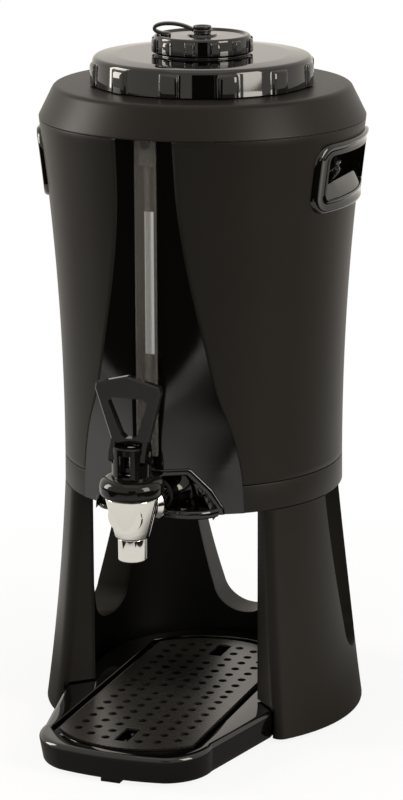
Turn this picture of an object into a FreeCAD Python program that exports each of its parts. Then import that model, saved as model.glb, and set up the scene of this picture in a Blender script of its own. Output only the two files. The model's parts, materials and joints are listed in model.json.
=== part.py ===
"""Insulated drinks dispenser: container with lever tap and sight gauge, on a flared stand.

Millimetres. +Z is up, the front with the tap faces -Y, and the origin lies on the floor
below the container's axis. Each function at the bottom makes one named piece.
"""
import FreeCAD
import Part
import math
import os

# Clearances
gap = 0.3                    # between pieces that move apart, and at seats
snug = 0.1                   # between pieces of one assembly that slide into each other
running_gap = 0.05           # radial clearance of a shaft in its bore
far = 150.0                  # reach of cutting bodies past the outside

# Stand
foot_height = 3.0
stand_top = 165.2            # height of the seat for the container
waist_radius = 98.4          # outside, at the seat
skirt_radius = waist_radius + 15.5                  # outside, at the lower edge
skirt_bow = 1.85             # how far the flare is hollow at half height
stand_wall = 3.0
well_radius = waist_radius - 13.9                   # the stand's open middle
mouth_angle = 46.5           # half the front opening, seen from the axis
leg_edge_radius = 7.0
back_window_bottom = 35.5
back_window_hip = 22.8       # half width where the round end meets the flanks
back_window_middle = 31.5
back_window_top = 41.0       # half width at the seat
side_window_bottom = 44.5
side_window_hip = 20.0
side_window_middle = 27.5
side_window_top = 37.0
side_window_y = 19.0
window_hip_height = 19.0     # of the round end, above the window's bottom
window_middle_height = 57.0
foot_radius = 6.0
foot_circle = well_radius + 11.0                    # distance of the feet from the axis
front_foot_angle = 62.0      # from the front
back_foot_angle = 137.0
base_ring_thickness = 2.5
boss_radius = 5.0
boss_height = 22.0
screw_circle = skirt_radius - 9.3
screw_angles = (74.0, 106.0, 157.0)
screw_radius = 1.5
screw_length = 14.0
screw_head_radius = 2.8
screw_head_height = 1.6

# Drip tray and grate
grate_half_width = 48.5
grate_centre_y = -59.0
grate_half_length = 115.0
grate_end_radius = 66.0
tray_half_width = well_radius - 6.7                 # under the legs
tray_nose_half_width = 61.5  # where the round nose begins
tray_front_y = grate_centre_y - grate_half_length - 15.0
tray_nose_y = tray_front_y + 41.0
tray_flare_y = tray_nose_y + 74.0
tray_corner_x = tray_nose_half_width - 22.8         # where the nose turns into its rounded corners
tray_corner_depth = 4.0
tray_bulge_x = tray_nose_half_width - 5.2
tray_bulge_depth = 18.0
tray_height = 20.0
tray_draft = 1.0             # sides, bottom against top
tray_flare_draft = 4.5       # nose's sides
tray_nose_draft = 7.0        # nose's front
tray_wall = 3.0
tray_rim_radius = 4.0
tray_floor = 4.0
tray_foot_width = 14.0
groove_width = 5.5           # round the grate
groove_depth = 5.0
grate_thickness = 1.6
ridge_inset = 2.0            # ridge that carries the grate, from the grate's edge
ridge_width = 4.0
grate_hole_radius = 3.0
grate_column_pitch = (grate_half_width - 12.05) / 3
grate_first_row = 10.0
grate_row_bend = 62.0        # radius of the bent rows
grate_rows = 8
finger_slot_width = 10.0
finger_slot_length = 24.0
finger_slot_distance = grate_half_length - 24.0     # from the grate's centre

# Container
band_height = 19.3
shell_top = stand_top + 259.3                       # the seam under the shoulder
shell_top_radius = 113.0
shell_bow = 4.65
shell_wall = 3.0
shoulder_radius = shell_top_radius - 10.6
shoulder_foot_z = shell_top + 1.0
shoulder_top = shell_top + 22.3
shoulder_round = 4.0
bottom_plate_thickness = 2.5
spigot_wall = 3.0
spigot_depth = 3.6           # into the stand

# Vessel, neck and insulation
vessel_radius = waist_radius - 18.4
vessel_wall = 2.5
vessel_floor_z = stand_top + 25.3
vessel_shoulder_z = shell_top - 0.5
vessel_neck_radius = vessel_radius - 19.0
vessel_neck_z = shell_top + 15.0
neck_ring_radius = vessel_neck_radius + 5.0
neck_hole_radius = neck_ring_radius + 2.0
neck_ring_top = shoulder_top + 9.2
lip_thickness = 2.0
drain_radius = 9.0
drain_bore = 6.0
drain_length = 9.0

# Front panel and sight gauge
panel_plane_y = -1.1 - (shell_top_radius + waist_radius) / 2  # the flat strip down the middle
panel_strip_half_width = 10.0
panel_wall = 3.0
panel_core_y = panel_plane_y + 11.8                 # back of the thick middle that holds the gauge
panel_core_half_width = 12.0
panel_back_y = panel_plane_y + 44.8                 # how far back the shell is cut away for the panel
panel_edge = [(165.5, 59.0), (195.0, 57.0), (220.0, 52.5), (248.0, 43.3), (283.0, 36.0),
              (316.0, 29.5), (343.0, 25.0), (376.0, 21.3), (424.5, 20.0)]
cover_half_width = 7.5
cover_thickness = 2.4
cover_bottom = stand_top + 43.8
tube_y = panel_plane_y + 2.4
tube_radius = 2.4
tube_bore = 1.5
channel_half_width = 5.5
backing_thickness = 0.8
backing_half_width = 3.1
backing_bottom = stand_top + 112.8
backing_top = shell_top - 49.5
vent_radius = 2.8

# Tap recess, shank and outlet
arch_top = stand_top + 34.0
arch_flat_half_width = 27.0
arch_half_width = 47.5       # at the foot
arch_hip_x = 46.9
arch_hip_z = stand_top + 5.4
arch_shoulder_x = 40.0
arch_shoulder_z = stand_top + 18.3
arch_wall = 2.5
arch_rim = 5.0               # width of the rim, seen from the front
arch_proud = 1.0             # rim in front of the panel
arch_back_y = panel_plane_y + 15.8
lip_height = 3.0
lip_half_width = 34.0        # straight middle of the lip
lip_front_y = panel_plane_y + 3.3
lip_end_x = 44.5
shank_z = stand_top + 11.8
shank_radius = 8.0
shank_bore = 5.6
shank_front_y = panel_plane_y - 14.2
shank_back_y = arch_back_y + 23.0
sump_half_width = 19.0
drain_y = shank_back_y + 10.0
sump_back_y = drain_y + 20.0
sump_bottom = stand_top - 1.7
gasket_thickness = 1.4
gasket_radius = 12.0
nut_thickness = 5.0
nut_radius = 12.5
tee_radius = 11.0
tee_spigot_radius = 4.3
tee_spigot_top = arch_top + 13.8
elbow_radius = 10.2

# Tap
tap_y = panel_plane_y - 29.8
spout_bottom = shank_z - 33.2
spout_radius = 9.7
spout_bore = 7.4
cone_bottom = shank_z - 17.6
cone_bottom_radius = 10.6
cone_waist_radius = 12.4
cone_waist_z = cone_bottom + 4.2
cone_top = shank_z + 11.3
cone_top_radius = 18.4
chamber_radius = 11.6
chamber_bottom = shank_z - 8.9
tap_neck_radius = 17.0
tap_neck_top = shank_z + 14.5
horn_radius = 12.0
horn_flange_radius = 14.8
horn_flange_thickness = 4.0
bonnet_radius = 21.7
bonnet_foot_radius = 18.9
bonnet_top = shank_z + 25.0
bonnet_round = 5.5
bonnet_foot_round = 5.5       # height of the rounded foot
stem_tube_radius = 13.3
stem_tube_top = shank_z + 46.6
stem_tube_bore = 8.0
stem_web_bottom = shank_z + 29.1
stem_web_top = shank_z + 32.0
shoulder_flat_z = shank_z + 35.0
flat_half_width = 9.4
front_slot_half_width = 3.9
front_slot_bottom = shank_z + 27.2
front_slot_top = shank_z + 41.8
stem_radius = 3.5
stem_top = shank_z + 44.7
seat_cup_radius = 10.5
seat_cup_height = 10.0
spring_radius = 6.4
spring_wire = 1.2
spring_turns = 6

# Lever
pin_radius = 2.0
pin_z = shank_z + 41.3
lift = 3.4                   # travel of the stem at full tilt
full_tilt = 45.0
ear_thickness = 3.4
ear_reach = 6.0              # from the pin to the foot of the ear
ear_half_width = 5.2
lever_foot_depth = 6.6       # front to back
lever_top_depth = 5.4
lever_bottom = pin_z + 5.9
lever_bottom_half_width = 12.4
lever_corner_half_width = 23.5
lever_corner_z = lever_bottom + 38.4
lever_crown_z = lever_bottom + 42.3
lever_peak_z = lever_bottom + 48.2
lever_lean = 5.0             # the top stands this far in front of the pin
loop_bottom = lever_bottom + 4.8
loop_top = lever_bottom + 33.0
loop_bottom_half_width = 6.0
loop_top_half_width = 14.0
loop_round = 3.0
lever_chamfer = 1.2

# Side handles
handle_half_length = 52.5
handle_bottom = shell_top - 56.0
handle_top = handle_bottom + 47.8
handle_corner = 13.0
grip_half_length = handle_half_length - 14.0
grip_bottom = handle_bottom + 9.0
grip_top = handle_top - 8.8
grip_corner = 7.0
handle_proud = 3.0
pocket_wall = 2.5
pocket_depth_x = vessel_radius + 7.0                # inner face of the pocket's back wall, from the axis

# Lid
lid_bottom = shoulder_top + 0.4
lid_top = lid_bottom + 19.8
lid_radius = neck_ring_radius + 9.6
lid_lug_radius = lid_radius + 2.4
lid_flare = 0.8              # the wall's foot against its top
lid_round = 4.0
lid_lug_count = 12
lid_lug_width = 11.5
lid_lug_phase = 3.5
lid_hole_radius = 27.0
lid_gasket_thickness = 2.0
lid_liner_bottom = shoulder_top - 0.8
lid_liner_wall = 1.6
fill_bore = lid_hole_radius - 2.5
fill_neck_radius = lid_hole_radius + 3.0
fill_neck_top = lid_top + 7.5
fill_flange_radius = fill_neck_radius + 3.0
fill_flange_top = lid_top + 0.9

# Small cap, vent plug and tether
cap_bottom = fill_flange_top + 0.9
cap_top = fill_neck_top + 5.8
cap_radius = fill_neck_radius + 3.2
cap_lug_radius = cap_radius + 2.2
cap_round = 1.6
cap_lug_count = 12
cap_lug_width = 5.2
cap_lug_phase = 5.7
cap_rim_width = 3.2
cap_recess = 1.2
cap_boss_radius = 9.5
cap_gasket_thickness = 1.5
plug_stem_radius = 2.2
plug_disc_radius = 6.0
plug_head_radius = 6.5
plug_waist_radius = 4.4
plug_disc_height = 1.3
plug_waist_height = 1.9
plug_height = 5.2
plug_stem_length = 6.0
strap_width = 5.0
strap_thickness = 1.3
strap_angle = 200.7          # direction of the tether from +X
strap_reach = 33.0
strap_rise = 5.6
strap_foot_reach = 25.0
strap_foot_radius = 3.6

# Values that follow from the ones above
band_bottom = stand_top + gap
band_top = band_bottom + band_height
plate_bottom = band_bottom + shell_wall
vessel_bottom = vessel_floor_z - vessel_wall
skirt_middle_radius = (skirt_radius + waist_radius) / 2 - skirt_bow
shell_middle_radius = (shell_top_radius + waist_radius) / 2 - shell_bow
tray_top = foot_height + tray_height
slot_half_width = tray_half_width + 2 * gap
slot_height = foot_height + tray_height + 1.2      # passage of the tray under the legs
grate_row_pitch = (grate_half_length - grate_first_row - 14.0) / (grate_rows - 1)
ridge_z = tray_top - grate_thickness - 2 * gap
groove_floor = tray_top - groove_depth
floor_top = band_bottom + lip_height
lip_top = neck_ring_top + lip_thickness
lid_under = lip_top + gap + lid_gasket_thickness + gap
cap_under = fill_neck_top + gap + cap_gasket_thickness + gap
plug_base = cap_top + gap


def vec(x, y, z):
    """Point or direction."""
    return FreeCAD.Vector(x, y, z)


def path_edges(steps, place):
    """Edges of a closed outline; a step of four numbers is an arc through its first pair."""
    edges = []
    here = place(*steps[0])
    for step in steps[1:] + [steps[0]]:
        there = place(*step[-2:])
        if there.distanceToPoint(here) < 1e-6:
            continue
        if len(step) == 4:
            edges.append(Part.Arc(here, place(*step[:2]), there).toShape())
        else:
            edges.append(Part.makeLine(here, there))
        here = there
    return edges


def face_of(steps, place):
    """Flat face inside a closed outline."""
    return Part.Face(Part.Wire(path_edges(steps, place)))


def turned(steps, x=0.0, y=0.0):
    """Solid of revolution about the upright line through (x, y), from (radius, height) steps."""
    face = face_of(steps, lambda r, z: vec(x + r, y, z))
    return face.revolve(vec(x, y, 0), vec(0, 0, 1), 360)


def turned_y(steps, x, z):
    """Solid of revolution about a line along Y through (x, z), from (radius, y) steps."""
    face = face_of(steps, lambda r, y: vec(x + r, y, z))
    return face.revolve(vec(x, 0, z), vec(0, 1, 0), 360)


def tube(outer, bore, low, high, x=0.0, y=0.0):
    """Upright tube."""
    return turned([(bore, low), (outer, low), (outer, high), (bore, high)], x, y)


def rod(radius, low, high, x=0.0, y=0.0):
    """Upright round bar."""
    return Part.makeCylinder(radius, high - low, vec(x, y, low))


def rod_x(radius, low, high, y, z):
    """Round bar along X."""
    return Part.makeCylinder(radius, high - low, vec(low, y, z), vec(1, 0, 0))


def rod_y(radius, low, high, x, z):
    """Round bar along Y."""
    return Part.makeCylinder(radius, high - low, vec(x, low, z), vec(0, 1, 0))


def block(x, y, z):
    """Box from three (low, high) pairs."""
    return Part.makeBox(x[1] - x[0], y[1] - y[0], z[1] - z[0], vec(x[0], y[0], z[0]))


def slab_z(steps, low, high):
    """Outline in X and Y, as thick as from low to high."""
    return face_of(steps, lambda x, y: vec(x, y, low)).extrude(vec(0, 0, high - low))


def slab_y(steps, low, high):
    """Outline in X and Z, as deep as from low to high."""
    return face_of(steps, lambda x, z: vec(x, low, z)).extrude(vec(0, high - low, 0))


def slab_x(steps, low, high):
    """Outline in Y and Z, as wide as from low to high."""
    return face_of(steps, lambda y, z: vec(low, y, z)).extrude(vec(high - low, 0, 0))


def mirrored(shape):
    """The same shape on the other side of the middle plane x = 0."""
    return shape.mirror(vec(0, 0, 0), vec(1, 0, 0))


def both_sides(shape):
    """A shape and its mirror image."""
    return [shape, mirrored(shape)]


def cut_all(shape, tools):
    """Take every tool away from a shape."""
    for tool in tools:
        shape = shape.cut(tool)
    return shape


def fuse_all(shapes):
    """Join shapes into one."""
    first, rest = shapes[0], shapes[1:]
    return first.multiFuse(rest).removeSplitter()


def at_angle(angle, radius):
    """X and Y at an angle from the front, counted towards +X."""
    turn = math.radians(angle)
    return radius * math.sin(turn), -radius * math.cos(turn)


def rounded_frame(half_length, low, high, corner):
    """Upright rounded rectangle, as (across, height) steps."""
    slack = corner * (1 - math.sqrt(0.5))
    a, c = half_length, corner
    return [(-a + c, low), (a - c, low), (a - slack, low + slack, a, low + c),
            (a, high - c), (a - slack, high - slack, a - c, high),
            (-a + c, high), (-a + slack, high - slack, -a, high - c),
            (-a, low + c), (-a + slack, low + slack, -a + c, low)]


def write(name, shape):
    """Write one piece, after a look at its soundness."""
    solids = shape.Solids
    print(f"{name}: {len(solids)} solid(s), {shape.Volume / 1000:.1f} cm3, valid {shape.isValid()}")
    result = solids[0] if len(solids) == 1 else Part.makeCompound(solids)
    result.exportStep(f"parts/{name}.step")


# Stand

def skirt_space(inset, low, high):
    """Everything inside the stand's flared outer surface, drawn in by inset."""
    bottom_radius = skirt_radius - inset
    middle = (foot_height + stand_top) / 2
    space = turned([(0, foot_height), (bottom_radius, foot_height),
                    (skirt_middle_radius - inset, middle, waist_radius - inset, stand_top),
                    (0, stand_top)])
    return space.common(block((-far, far), (-far, far), (low, high)))


def window_outline(bottom, centre, hip, middle, top, grow):
    """U-shaped window: round end, then bent flanks that widen up to the seat."""
    hip_z, middle_z = bottom + window_hip_height, bottom + window_middle_height
    top_z = stand_top + 1
    return [(centre - top - grow, top_z),
            (centre - middle - grow, middle_z, centre - hip - grow, hip_z),
            (centre, bottom - grow, centre + hip + grow, hip_z),
            (centre + middle + grow, middle_z, centre + top + grow, top_z)]


def window_cutters(grow):
    """The back window and the two side windows."""
    back = window_outline(back_window_bottom, 0.0, back_window_hip, back_window_middle,
                          back_window_top, grow)
    side = window_outline(side_window_bottom, side_window_y, side_window_hip, side_window_middle,
                          side_window_top, grow)
    start = well_radius / 2
    return [slab_y(back, start, far)] + both_sides(slab_x(side, start, far))


def well_space(grow):
    """The open round middle of the stand."""
    return rod(well_radius + grow, foot_height - 1, stand_top + 1)


def mouth_space(inset):
    """Wedge of the front opening, its sides set back by inset."""
    turn = math.radians(mouth_angle)
    shift = inset / math.sin(turn)
    x, y = at_angle(mouth_angle, 2 * far)
    return slab_z([(0, shift), (-x, y + shift), (x, y + shift)], 0, far + stand_top)


def leg_space(inset, low, high):
    """Flared wall without its front opening, the opening's upright edges rounded."""
    body = skirt_space(inset, low, high).cut(mouth_space(inset))
    radius = leg_edge_radius - inset
    upright = [edge for edge in body.Edges if edge.BoundBox.ZLength > 0.8 * (high - low)
               and edge.BoundBox.YMin < -well_radius / 2]
    return body.makeFillet(radius, upright)


def tray_passage(grow):
    """Room for the tray between the legs and the floor."""
    wide = slot_half_width + grow
    return block((-wide, wide), (-far, grow), (0, slot_height + grow))


def screw_places():
    """Where the base ring is screwed to the skirt."""
    return [at_angle(side * angle, screw_circle) for side in (1, -1) for angle in screw_angles]


def base_ring_blank(inset):
    """Open ring that fills the foot of the double wall."""
    outer = skirt_radius - stand_wall - inset
    inner = well_radius + stand_wall + inset
    ring = tube(outer, inner, foot_height, foot_height + base_ring_thickness)
    wide = slot_half_width + stand_wall + inset
    return ring.cut(block((-wide, wide), (-far, stand_wall + inset), (0, far)))


def stand_skirt():
    """Double-wall pedestal with a front mouth, three windows and a seat for the container."""
    body = leg_space(0, foot_height, stand_top)
    body = cut_all(body, [well_space(0)] + window_cutters(0))
    hollow = leg_space(stand_wall, foot_height, stand_top - stand_wall)
    hollow = cut_all(hollow, [well_space(stand_wall), tray_passage(stand_wall)])
    hollow = cut_all(hollow, window_cutters(stand_wall))
    hollow = cut_all(hollow, [rod(boss_radius, 0, boss_height, x, y) for x, y in screw_places()])
    body = cut_all(body, [hollow, tray_passage(0), base_ring_blank(0)])
    bore = screw_radius - 0.2
    return cut_all(body, [rod(bore, 0, screw_length + foot_height, x, y) for x, y in screw_places()])


def base_ring():
    """Stiffens the double wall from below and carries the feet."""
    holes = [rod(screw_radius + snug, 0, far, x, y) for x, y in screw_places()]
    return cut_all(base_ring_blank(snug), holes)


def base_screws():
    """Screws that hold the base ring to the skirt."""
    screws = []
    for x, y in screw_places():
        head = rod(screw_head_radius, foot_height - screw_head_height, foot_height, x, y)
        shaft = rod(screw_radius - 0.2, foot_height, foot_height + screw_length - 1, x, y)
        screws.append(fuse_all([head, shaft]))
    return Part.makeCompound(screws)


def stand_feet():
    """Rubber feet under the base ring."""
    ease = 0.8
    feet = []
    for angle in (front_foot_angle, back_foot_angle):
        for side in (1, -1):
            x, y = at_angle(side * angle, foot_circle)
            feet.append(turned([(0, 0), (foot_radius - ease, 0), (foot_radius, ease),
                                (foot_radius, foot_height), (0, foot_height)], x, y))
    return Part.makeCompound(feet)


# Drip tray and grate

def tray_outline(side, flare, nose):
    """Tray seen from above: round nose, flaring sides, round rear; each drawn in by its own inset."""
    half = tray_half_width - side
    nose_half = tray_nose_half_width - flare
    front = tray_front_y + nose
    slim = nose_half / tray_nose_half_width
    corner_x, corner_y = tray_corner_x * slim, front + tray_corner_depth
    bulge_x, bulge_y = tray_bulge_x * slim, front + tray_bulge_depth
    turn_y = max(tray_nose_y, bulge_y + tray_bulge_depth)
    return [(-corner_x, corner_y), (0, front, corner_x, corner_y), (bulge_x, bulge_y, nose_half, turn_y),
            (half, tray_flare_y), (half, 0), (0, half, -half, 0), (-half, tray_flare_y),
            (-nose_half, turn_y), (-bulge_x, bulge_y, -corner_x, corner_y)]


def grate_outline(inset):
    """Grate seen from above: straight sides and round ends."""
    half, radius = grate_half_width - inset, grate_end_radius - inset
    length = grate_half_length - inset
    side = length - radius + math.sqrt(radius ** 2 - half ** 2)
    low, high = grate_centre_y - side, grate_centre_y + side
    return [(-half, low), (0, grate_centre_y - length, half, low),
            (half, high), (0, grate_centre_y + length, -half, high)]


def drip_tray():
    """Tray with a rounded rim, a groove and a ridge for the grate, and a basin below it."""
    wires = []
    levels = [((tray_draft, tray_flare_draft, tray_nose_draft), foot_height), ((0, 0, 0), tray_top)]
    for insets, z in levels:
        wires.append(Part.Wire(path_edges(tray_outline(*insets), lambda x, y, h=z: vec(x, y, h))))
    body = Part.makeLoft(wires, True, True)
    rim = [edge for edge in body.Edges if edge.BoundBox.ZMin > tray_top - 0.01]
    body = body.makeFillet(tray_rim_radius, rim)
    basin_inset = ridge_inset + ridge_width
    groove = slab_z(grate_outline(-groove_width), groove_floor, tray_top + 1)
    ridge = slab_z(grate_outline(ridge_inset), groove_floor - 1, ridge_z)
    basin = slab_z(grate_outline(basin_inset), foot_height + tray_floor, tray_top)
    under_top = groove_floor - tray_wall
    under = slab_z(tray_outline(tray_draft + tray_wall, tray_flare_draft + tray_wall,
                                tray_nose_draft + tray_wall), 0, under_top)
    under = under.cut(slab_z(grate_outline(basin_inset - tray_wall), -1, under_top + 1))
    body = cut_all(body, [groove.cut(ridge), basin, under])
    half = tray_foot_width / 2
    foot_top = foot_height + tray_floor
    front_low = tray_front_y + tray_nose_draft + 1.0
    front_high = grate_centre_y - grate_half_length + basin_inset - tray_wall / 2
    front_foot = block((-half, half), (front_low, front_high), (0, foot_top))
    rear_foot = rod(half, 0, foot_top, grate_half_width - basin_inset - half, grate_centre_y + grate_half_width)
    return fuse_all([body, front_foot] + both_sides(rear_foot))


def grate_holes():
    """Centres of the round holes: bent rows, mirrored about the grate's middle."""
    places = []
    for column in range(-3, 4):
        x = column * grate_column_pitch
        bend = grate_row_bend - math.sqrt(grate_row_bend ** 2 - x ** 2)
        rows = range(1 if abs(column) == 3 else 0, 5 if column == 0 else grate_rows)
        for row in rows:
            away = grate_first_row + row * grate_row_pitch - bend
            places.append((x, grate_centre_y - away))
            places.append((x, grate_centre_y + away))
        if abs(column) == 3:
            places.append((x, grate_centre_y))
    return places


def drip_grate():
    """Perforated plate with two finger slots."""
    low = ridge_z + gap
    high = low + grate_thickness
    plate = slab_z(grate_outline(0), low, high)
    half, reach = finger_slot_width / 2, finger_slot_length / 2
    holes = [rod(grate_hole_radius, low - 1, high + 1, x, y) for x, y in grate_holes()]
    for side in (-1, 1):
        y = grate_centre_y + side * finger_slot_distance
        holes.append(block((-half, half), (y - reach, y + reach), (low - 1, high + 1)))
    return plate.cut(Part.makeCompound(holes))


# Container shells

def shell_space(inset, low, high):
    """Everything inside the container's waisted outer surface, drawn in by inset."""
    middle = (band_bottom + shell_top) / 2
    space = turned([(0, band_bottom), (waist_radius - inset, band_bottom),
                    (shell_middle_radius - inset, middle, shell_top_radius - inset, shell_top),
                    (0, shell_top)])
    return space.common(block((-far, far), (-far, far), (low, high)))


def shell_radius(z):
    """Outer radius of the container at a height."""
    middle = (band_bottom + shell_top) / 2
    arc = Part.Arc(vec(waist_radius, 0, band_bottom), vec(shell_middle_radius, 0, middle),
                   vec(shell_top_radius, 0, shell_top))
    line = Part.makeLine(vec(0, 0, z), vec(2 * far, 0, z))
    return arc.toShape().distToShape(line)[1][0][0].x


def panel_rows():
    """Heights and half widths of the panel, fitted between the container's foot and the seam."""
    low, high = panel_edge[0][0], panel_edge[-1][0]
    scale = (shell_top - band_bottom) / (high - low)
    return [(band_bottom + (z - low) * scale, width) for z, width in panel_edge]


def panel_room(inset):
    """Room straight behind the panel's outline, whose edges curve through the chosen points."""
    right = [vec(width - inset, -far, z) for z, width in panel_rows()]
    left = [vec(-point.x, point.y, point.z) for point in reversed(right)]
    curves = []
    for side in (right, left):
        curve = Part.BSplineCurve()
        curve.interpolate(side)
        curves.append(curve.toShape())
    edges = [curves[0], Part.makeLine(right[-1], left[0]), curves[1], Part.makeLine(left[-1], right[0])]
    return Part.Face(Part.Wire(edges)).extrude(vec(0, far + panel_back_y, 0))


def panel_front_space(forward):
    """Everything behind the panel's front: a flat strip and two flanks that meet the shell."""
    strip, past = panel_strip_half_width, 1.15
    sections = []
    for z, width in panel_rows():
        edge_y = -math.sqrt(shell_radius(z) ** 2 - width ** 2)
        x = strip + past * (width - strip)
        y = panel_plane_y + past * (edge_y - panel_plane_y)
        points = [(-x, y), (-strip, panel_plane_y), (strip, panel_plane_y), (x, y), (x, -strip), (-x, -strip)]
        corners = [vec(px, py - forward, z) for px, py in points]
        sections.append(Part.makePolygon(corners + [corners[0]]))
    return Part.makeLoft(sections, True, False)


def grown(points, grow):
    """A convex outline of straight sides, counter-clockwise, moved outwards by grow."""
    lines = []
    for (ax, az), (bx, bz) in zip(points, points[1:] + points[:1]):
        length = math.hypot(bx - ax, bz - az)
        across, up = (bz - az) / length, (ax - bx) / length
        lines.append((across, up, across * ax + up * az + grow))
    corners = []
    for (a, b, c), (d, e, f) in zip(lines, lines[1:] + lines[:1]):
        corners.append(((c * e - b * f) / (a * e - b * d), (a * f - c * d) / (a * e - b * d)))
    return corners


def arch_space(grow, front=-far, back=arch_back_y + arch_wall + snug):
    """Arched room of the tap recess between two depths, its outline grown evenly."""
    right = [(arch_half_width, 0), (arch_half_width, band_bottom), (arch_hip_x, arch_hip_z),
             (arch_shoulder_x, arch_shoulder_z), (arch_flat_half_width, arch_top)]
    left = [(-x, z) for x, z in reversed(right)]
    return slab_y(grown(right + left, grow), front, back)


def front_panel():
    """Glossy panel with the gauge channel down its middle and the arched recess cut out."""
    front = panel_front_space(0)
    skin = front.cut(panel_front_space(-panel_wall))
    wide, half = panel_core_half_width, channel_half_width
    core = front.common(block((-wide, wide), (-far, panel_core_y), (0, shell_top)))
    body = fuse_all([skin, core]).common(panel_room(0))
    body = body.common(block((-far, far), (-far, far), (band_bottom, shell_top - snug)))
    channel_back = tube_y + tube_radius + backing_thickness + snug
    channel = block((-half, half), (-far, channel_back), (arch_top - 20, shell_top))
    return cut_all(body, [channel, arch_space(snug)])


def pocket_cutters(grow):
    """Holes through the shell for the two handle pockets."""
    outline = rounded_frame(grip_half_length + pocket_wall + grow, grip_bottom - pocket_wall - grow,
                            grip_top + pocket_wall + grow, grip_corner + pocket_wall)
    return both_sides(slab_x(outline, pocket_depth_x - pocket_wall - grow, far))


def outer_shell():
    """Waisted outer shell between the base band and the shoulder."""
    body = shell_space(0, band_top + snug, shell_top - snug)
    body = body.cut(shell_space(shell_wall, 0, far + shell_top))
    return cut_all(body, [panel_room(-snug), arch_space(snug)] + pocket_cutters(snug))


def base_band():
    """Band at the foot of the container, with an inward flange that sits on the stand."""
    body = shell_space(0, band_bottom, band_top)
    inside = shell_space(shell_wall, plate_bottom, band_top)
    flange_bore = rod(well_radius + gap, 0, band_top)
    return cut_all(body, [inside, flange_bore, panel_room(-snug), arch_space(snug), sump_room(snug)])


def sump_room(grow):
    """Room for the outlet under the vessel, open to the front."""
    half = sump_half_width + grow
    return block((-half, half), (-far, sump_back_y + grow), (0, far + plate_bottom))


def bottom_plate():
    """Closes the container from below; its spigot locates in the stand's open middle."""
    plate = shell_space(shell_wall + snug, plate_bottom, plate_bottom + bottom_plate_thickness)
    outer = well_radius - gap
    spigot = tube(outer, outer - spigot_wall, stand_top - spigot_depth, plate_bottom)
    body = fuse_all([plate, spigot.cut(mouth_space(0))])
    return cut_all(body, [sump_room(snug), panel_room(-snug), arch_space(snug)])


def shoulder_collar():
    """Conical shoulder over the shell, flat on top round the neck."""
    edge = shoulder_foot_z
    slope_end = shoulder_top - shoulder_round
    run = (shell_top_radius - shoulder_radius) / (shoulder_top - edge)
    slope_radius = shoulder_radius + run * shoulder_round
    flat_radius = shoulder_radius - shoulder_round
    bend = shoulder_round * (1 - math.sqrt(0.5)) * 0.8
    wall = shell_wall
    outer = [(shell_top_radius, shell_top), (shell_top_radius, edge), (slope_radius, slope_end),
             (shoulder_radius - bend * 0.4, shoulder_top - bend, flat_radius, shoulder_top)]
    inner = [(neck_hole_radius, shoulder_top), (neck_hole_radius, shoulder_top - wall),
             (flat_radius, shoulder_top - wall), (slope_radius - wall, slope_end - 0.6 * wall),
             (shell_top_radius - wall, edge), (shell_top_radius - wall, shell_top)]
    return turned(outer + inner)


def handle():
    """Handle on the +X side: a frame that follows the shell and a finger pocket behind it."""
    outer_skin = shell_space(-handle_proud, handle_bottom - 1, handle_top + 1)
    frame_outline = rounded_frame(handle_half_length, handle_bottom, handle_top, handle_corner)
    frame = slab_x(frame_outline, vessel_radius, far).common(outer_skin)
    frame = frame.cut(shell_space(-snug, 0, far + shell_top))
    cup_outline = rounded_frame(grip_half_length + pocket_wall, grip_bottom - pocket_wall,
                                grip_top + pocket_wall, grip_corner + pocket_wall)
    cup = slab_x(cup_outline, pocket_depth_x - pocket_wall, far).common(outer_skin)
    inside = slab_x(rounded_frame(grip_half_length, grip_bottom, grip_top, grip_corner),
                    pocket_depth_x, far)
    return fuse_all([frame, cup]).cut(inside)


# Vessel and insulation

def vessel_outline(inset):
    """Half section of the vessel's outer surface, drawn in by inset."""
    foot_round = 12.0
    r, low = vessel_radius - inset, vessel_bottom + inset
    neck = vessel_neck_radius - inset
    lean = foot_round * (1 - math.sqrt(0.5))
    return [(0, low), (r - foot_round, low), (r - lean, low + lean, r, low + foot_round),
            (r, vessel_shoulder_z), (neck, vessel_neck_z - inset)]


def vessel_walls():
    """Bottom, side, shoulder, neck and lip of the vessel in one."""
    neck = vessel_neck_radius
    lip = neck_ring_radius - 1.0
    outside = vessel_outline(0) + [(neck, neck_ring_top), (lip, neck_ring_top), (lip, lip_top), (0, lip_top)]
    inside = vessel_outline(vessel_wall) + [(neck - vessel_wall, lip_top + 1), (0, lip_top + 1)]
    return turned(outside).cut(turned(inside))


def inner_vessel():
    """Pot that holds the drink, with a drain at the front."""
    low = vessel_bottom - drain_length
    pot = vessel_walls().common(rod(far, 0, vessel_shoulder_z))
    body = fuse_all([pot, rod(drain_radius, low, vessel_floor_z, 0, drain_y)])
    return body.cut(rod(drain_bore, low - 1, vessel_floor_z + 1, 0, drain_y))


def vessel_top():
    """Shoulder and neck welded on the pot, with a lip over the neck ring."""
    return vessel_walls().common(rod(far, vessel_shoulder_z + running_gap, far + vessel_shoulder_z))


def vessel_room():
    """The vessel's outer surface with a snug allowance, filled."""
    steps = vessel_outline(-snug)
    return turned(steps + [(vessel_neck_radius + snug, far + vessel_neck_z), (0, far + vessel_neck_z)])


def foam_jacket():
    """Foam between the vessel and the shell."""
    body = shell_space(shell_wall + snug, vessel_bottom, shell_top - snug)
    wide = panel_core_half_width + snug
    core = block((-wide, wide), (-far, panel_core_y + snug), (0, far + shell_top))
    skin = panel_room(-2 * snug).cut(panel_front_space(-panel_wall - snug))
    cuts = [vessel_room(), core, skin, arch_space(2 * snug), sump_room(snug)]
    body = cut_all(body, cuts + pocket_cutters(snug))
    return max(body.Solids, key=lambda solid: solid.Volume)


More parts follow.
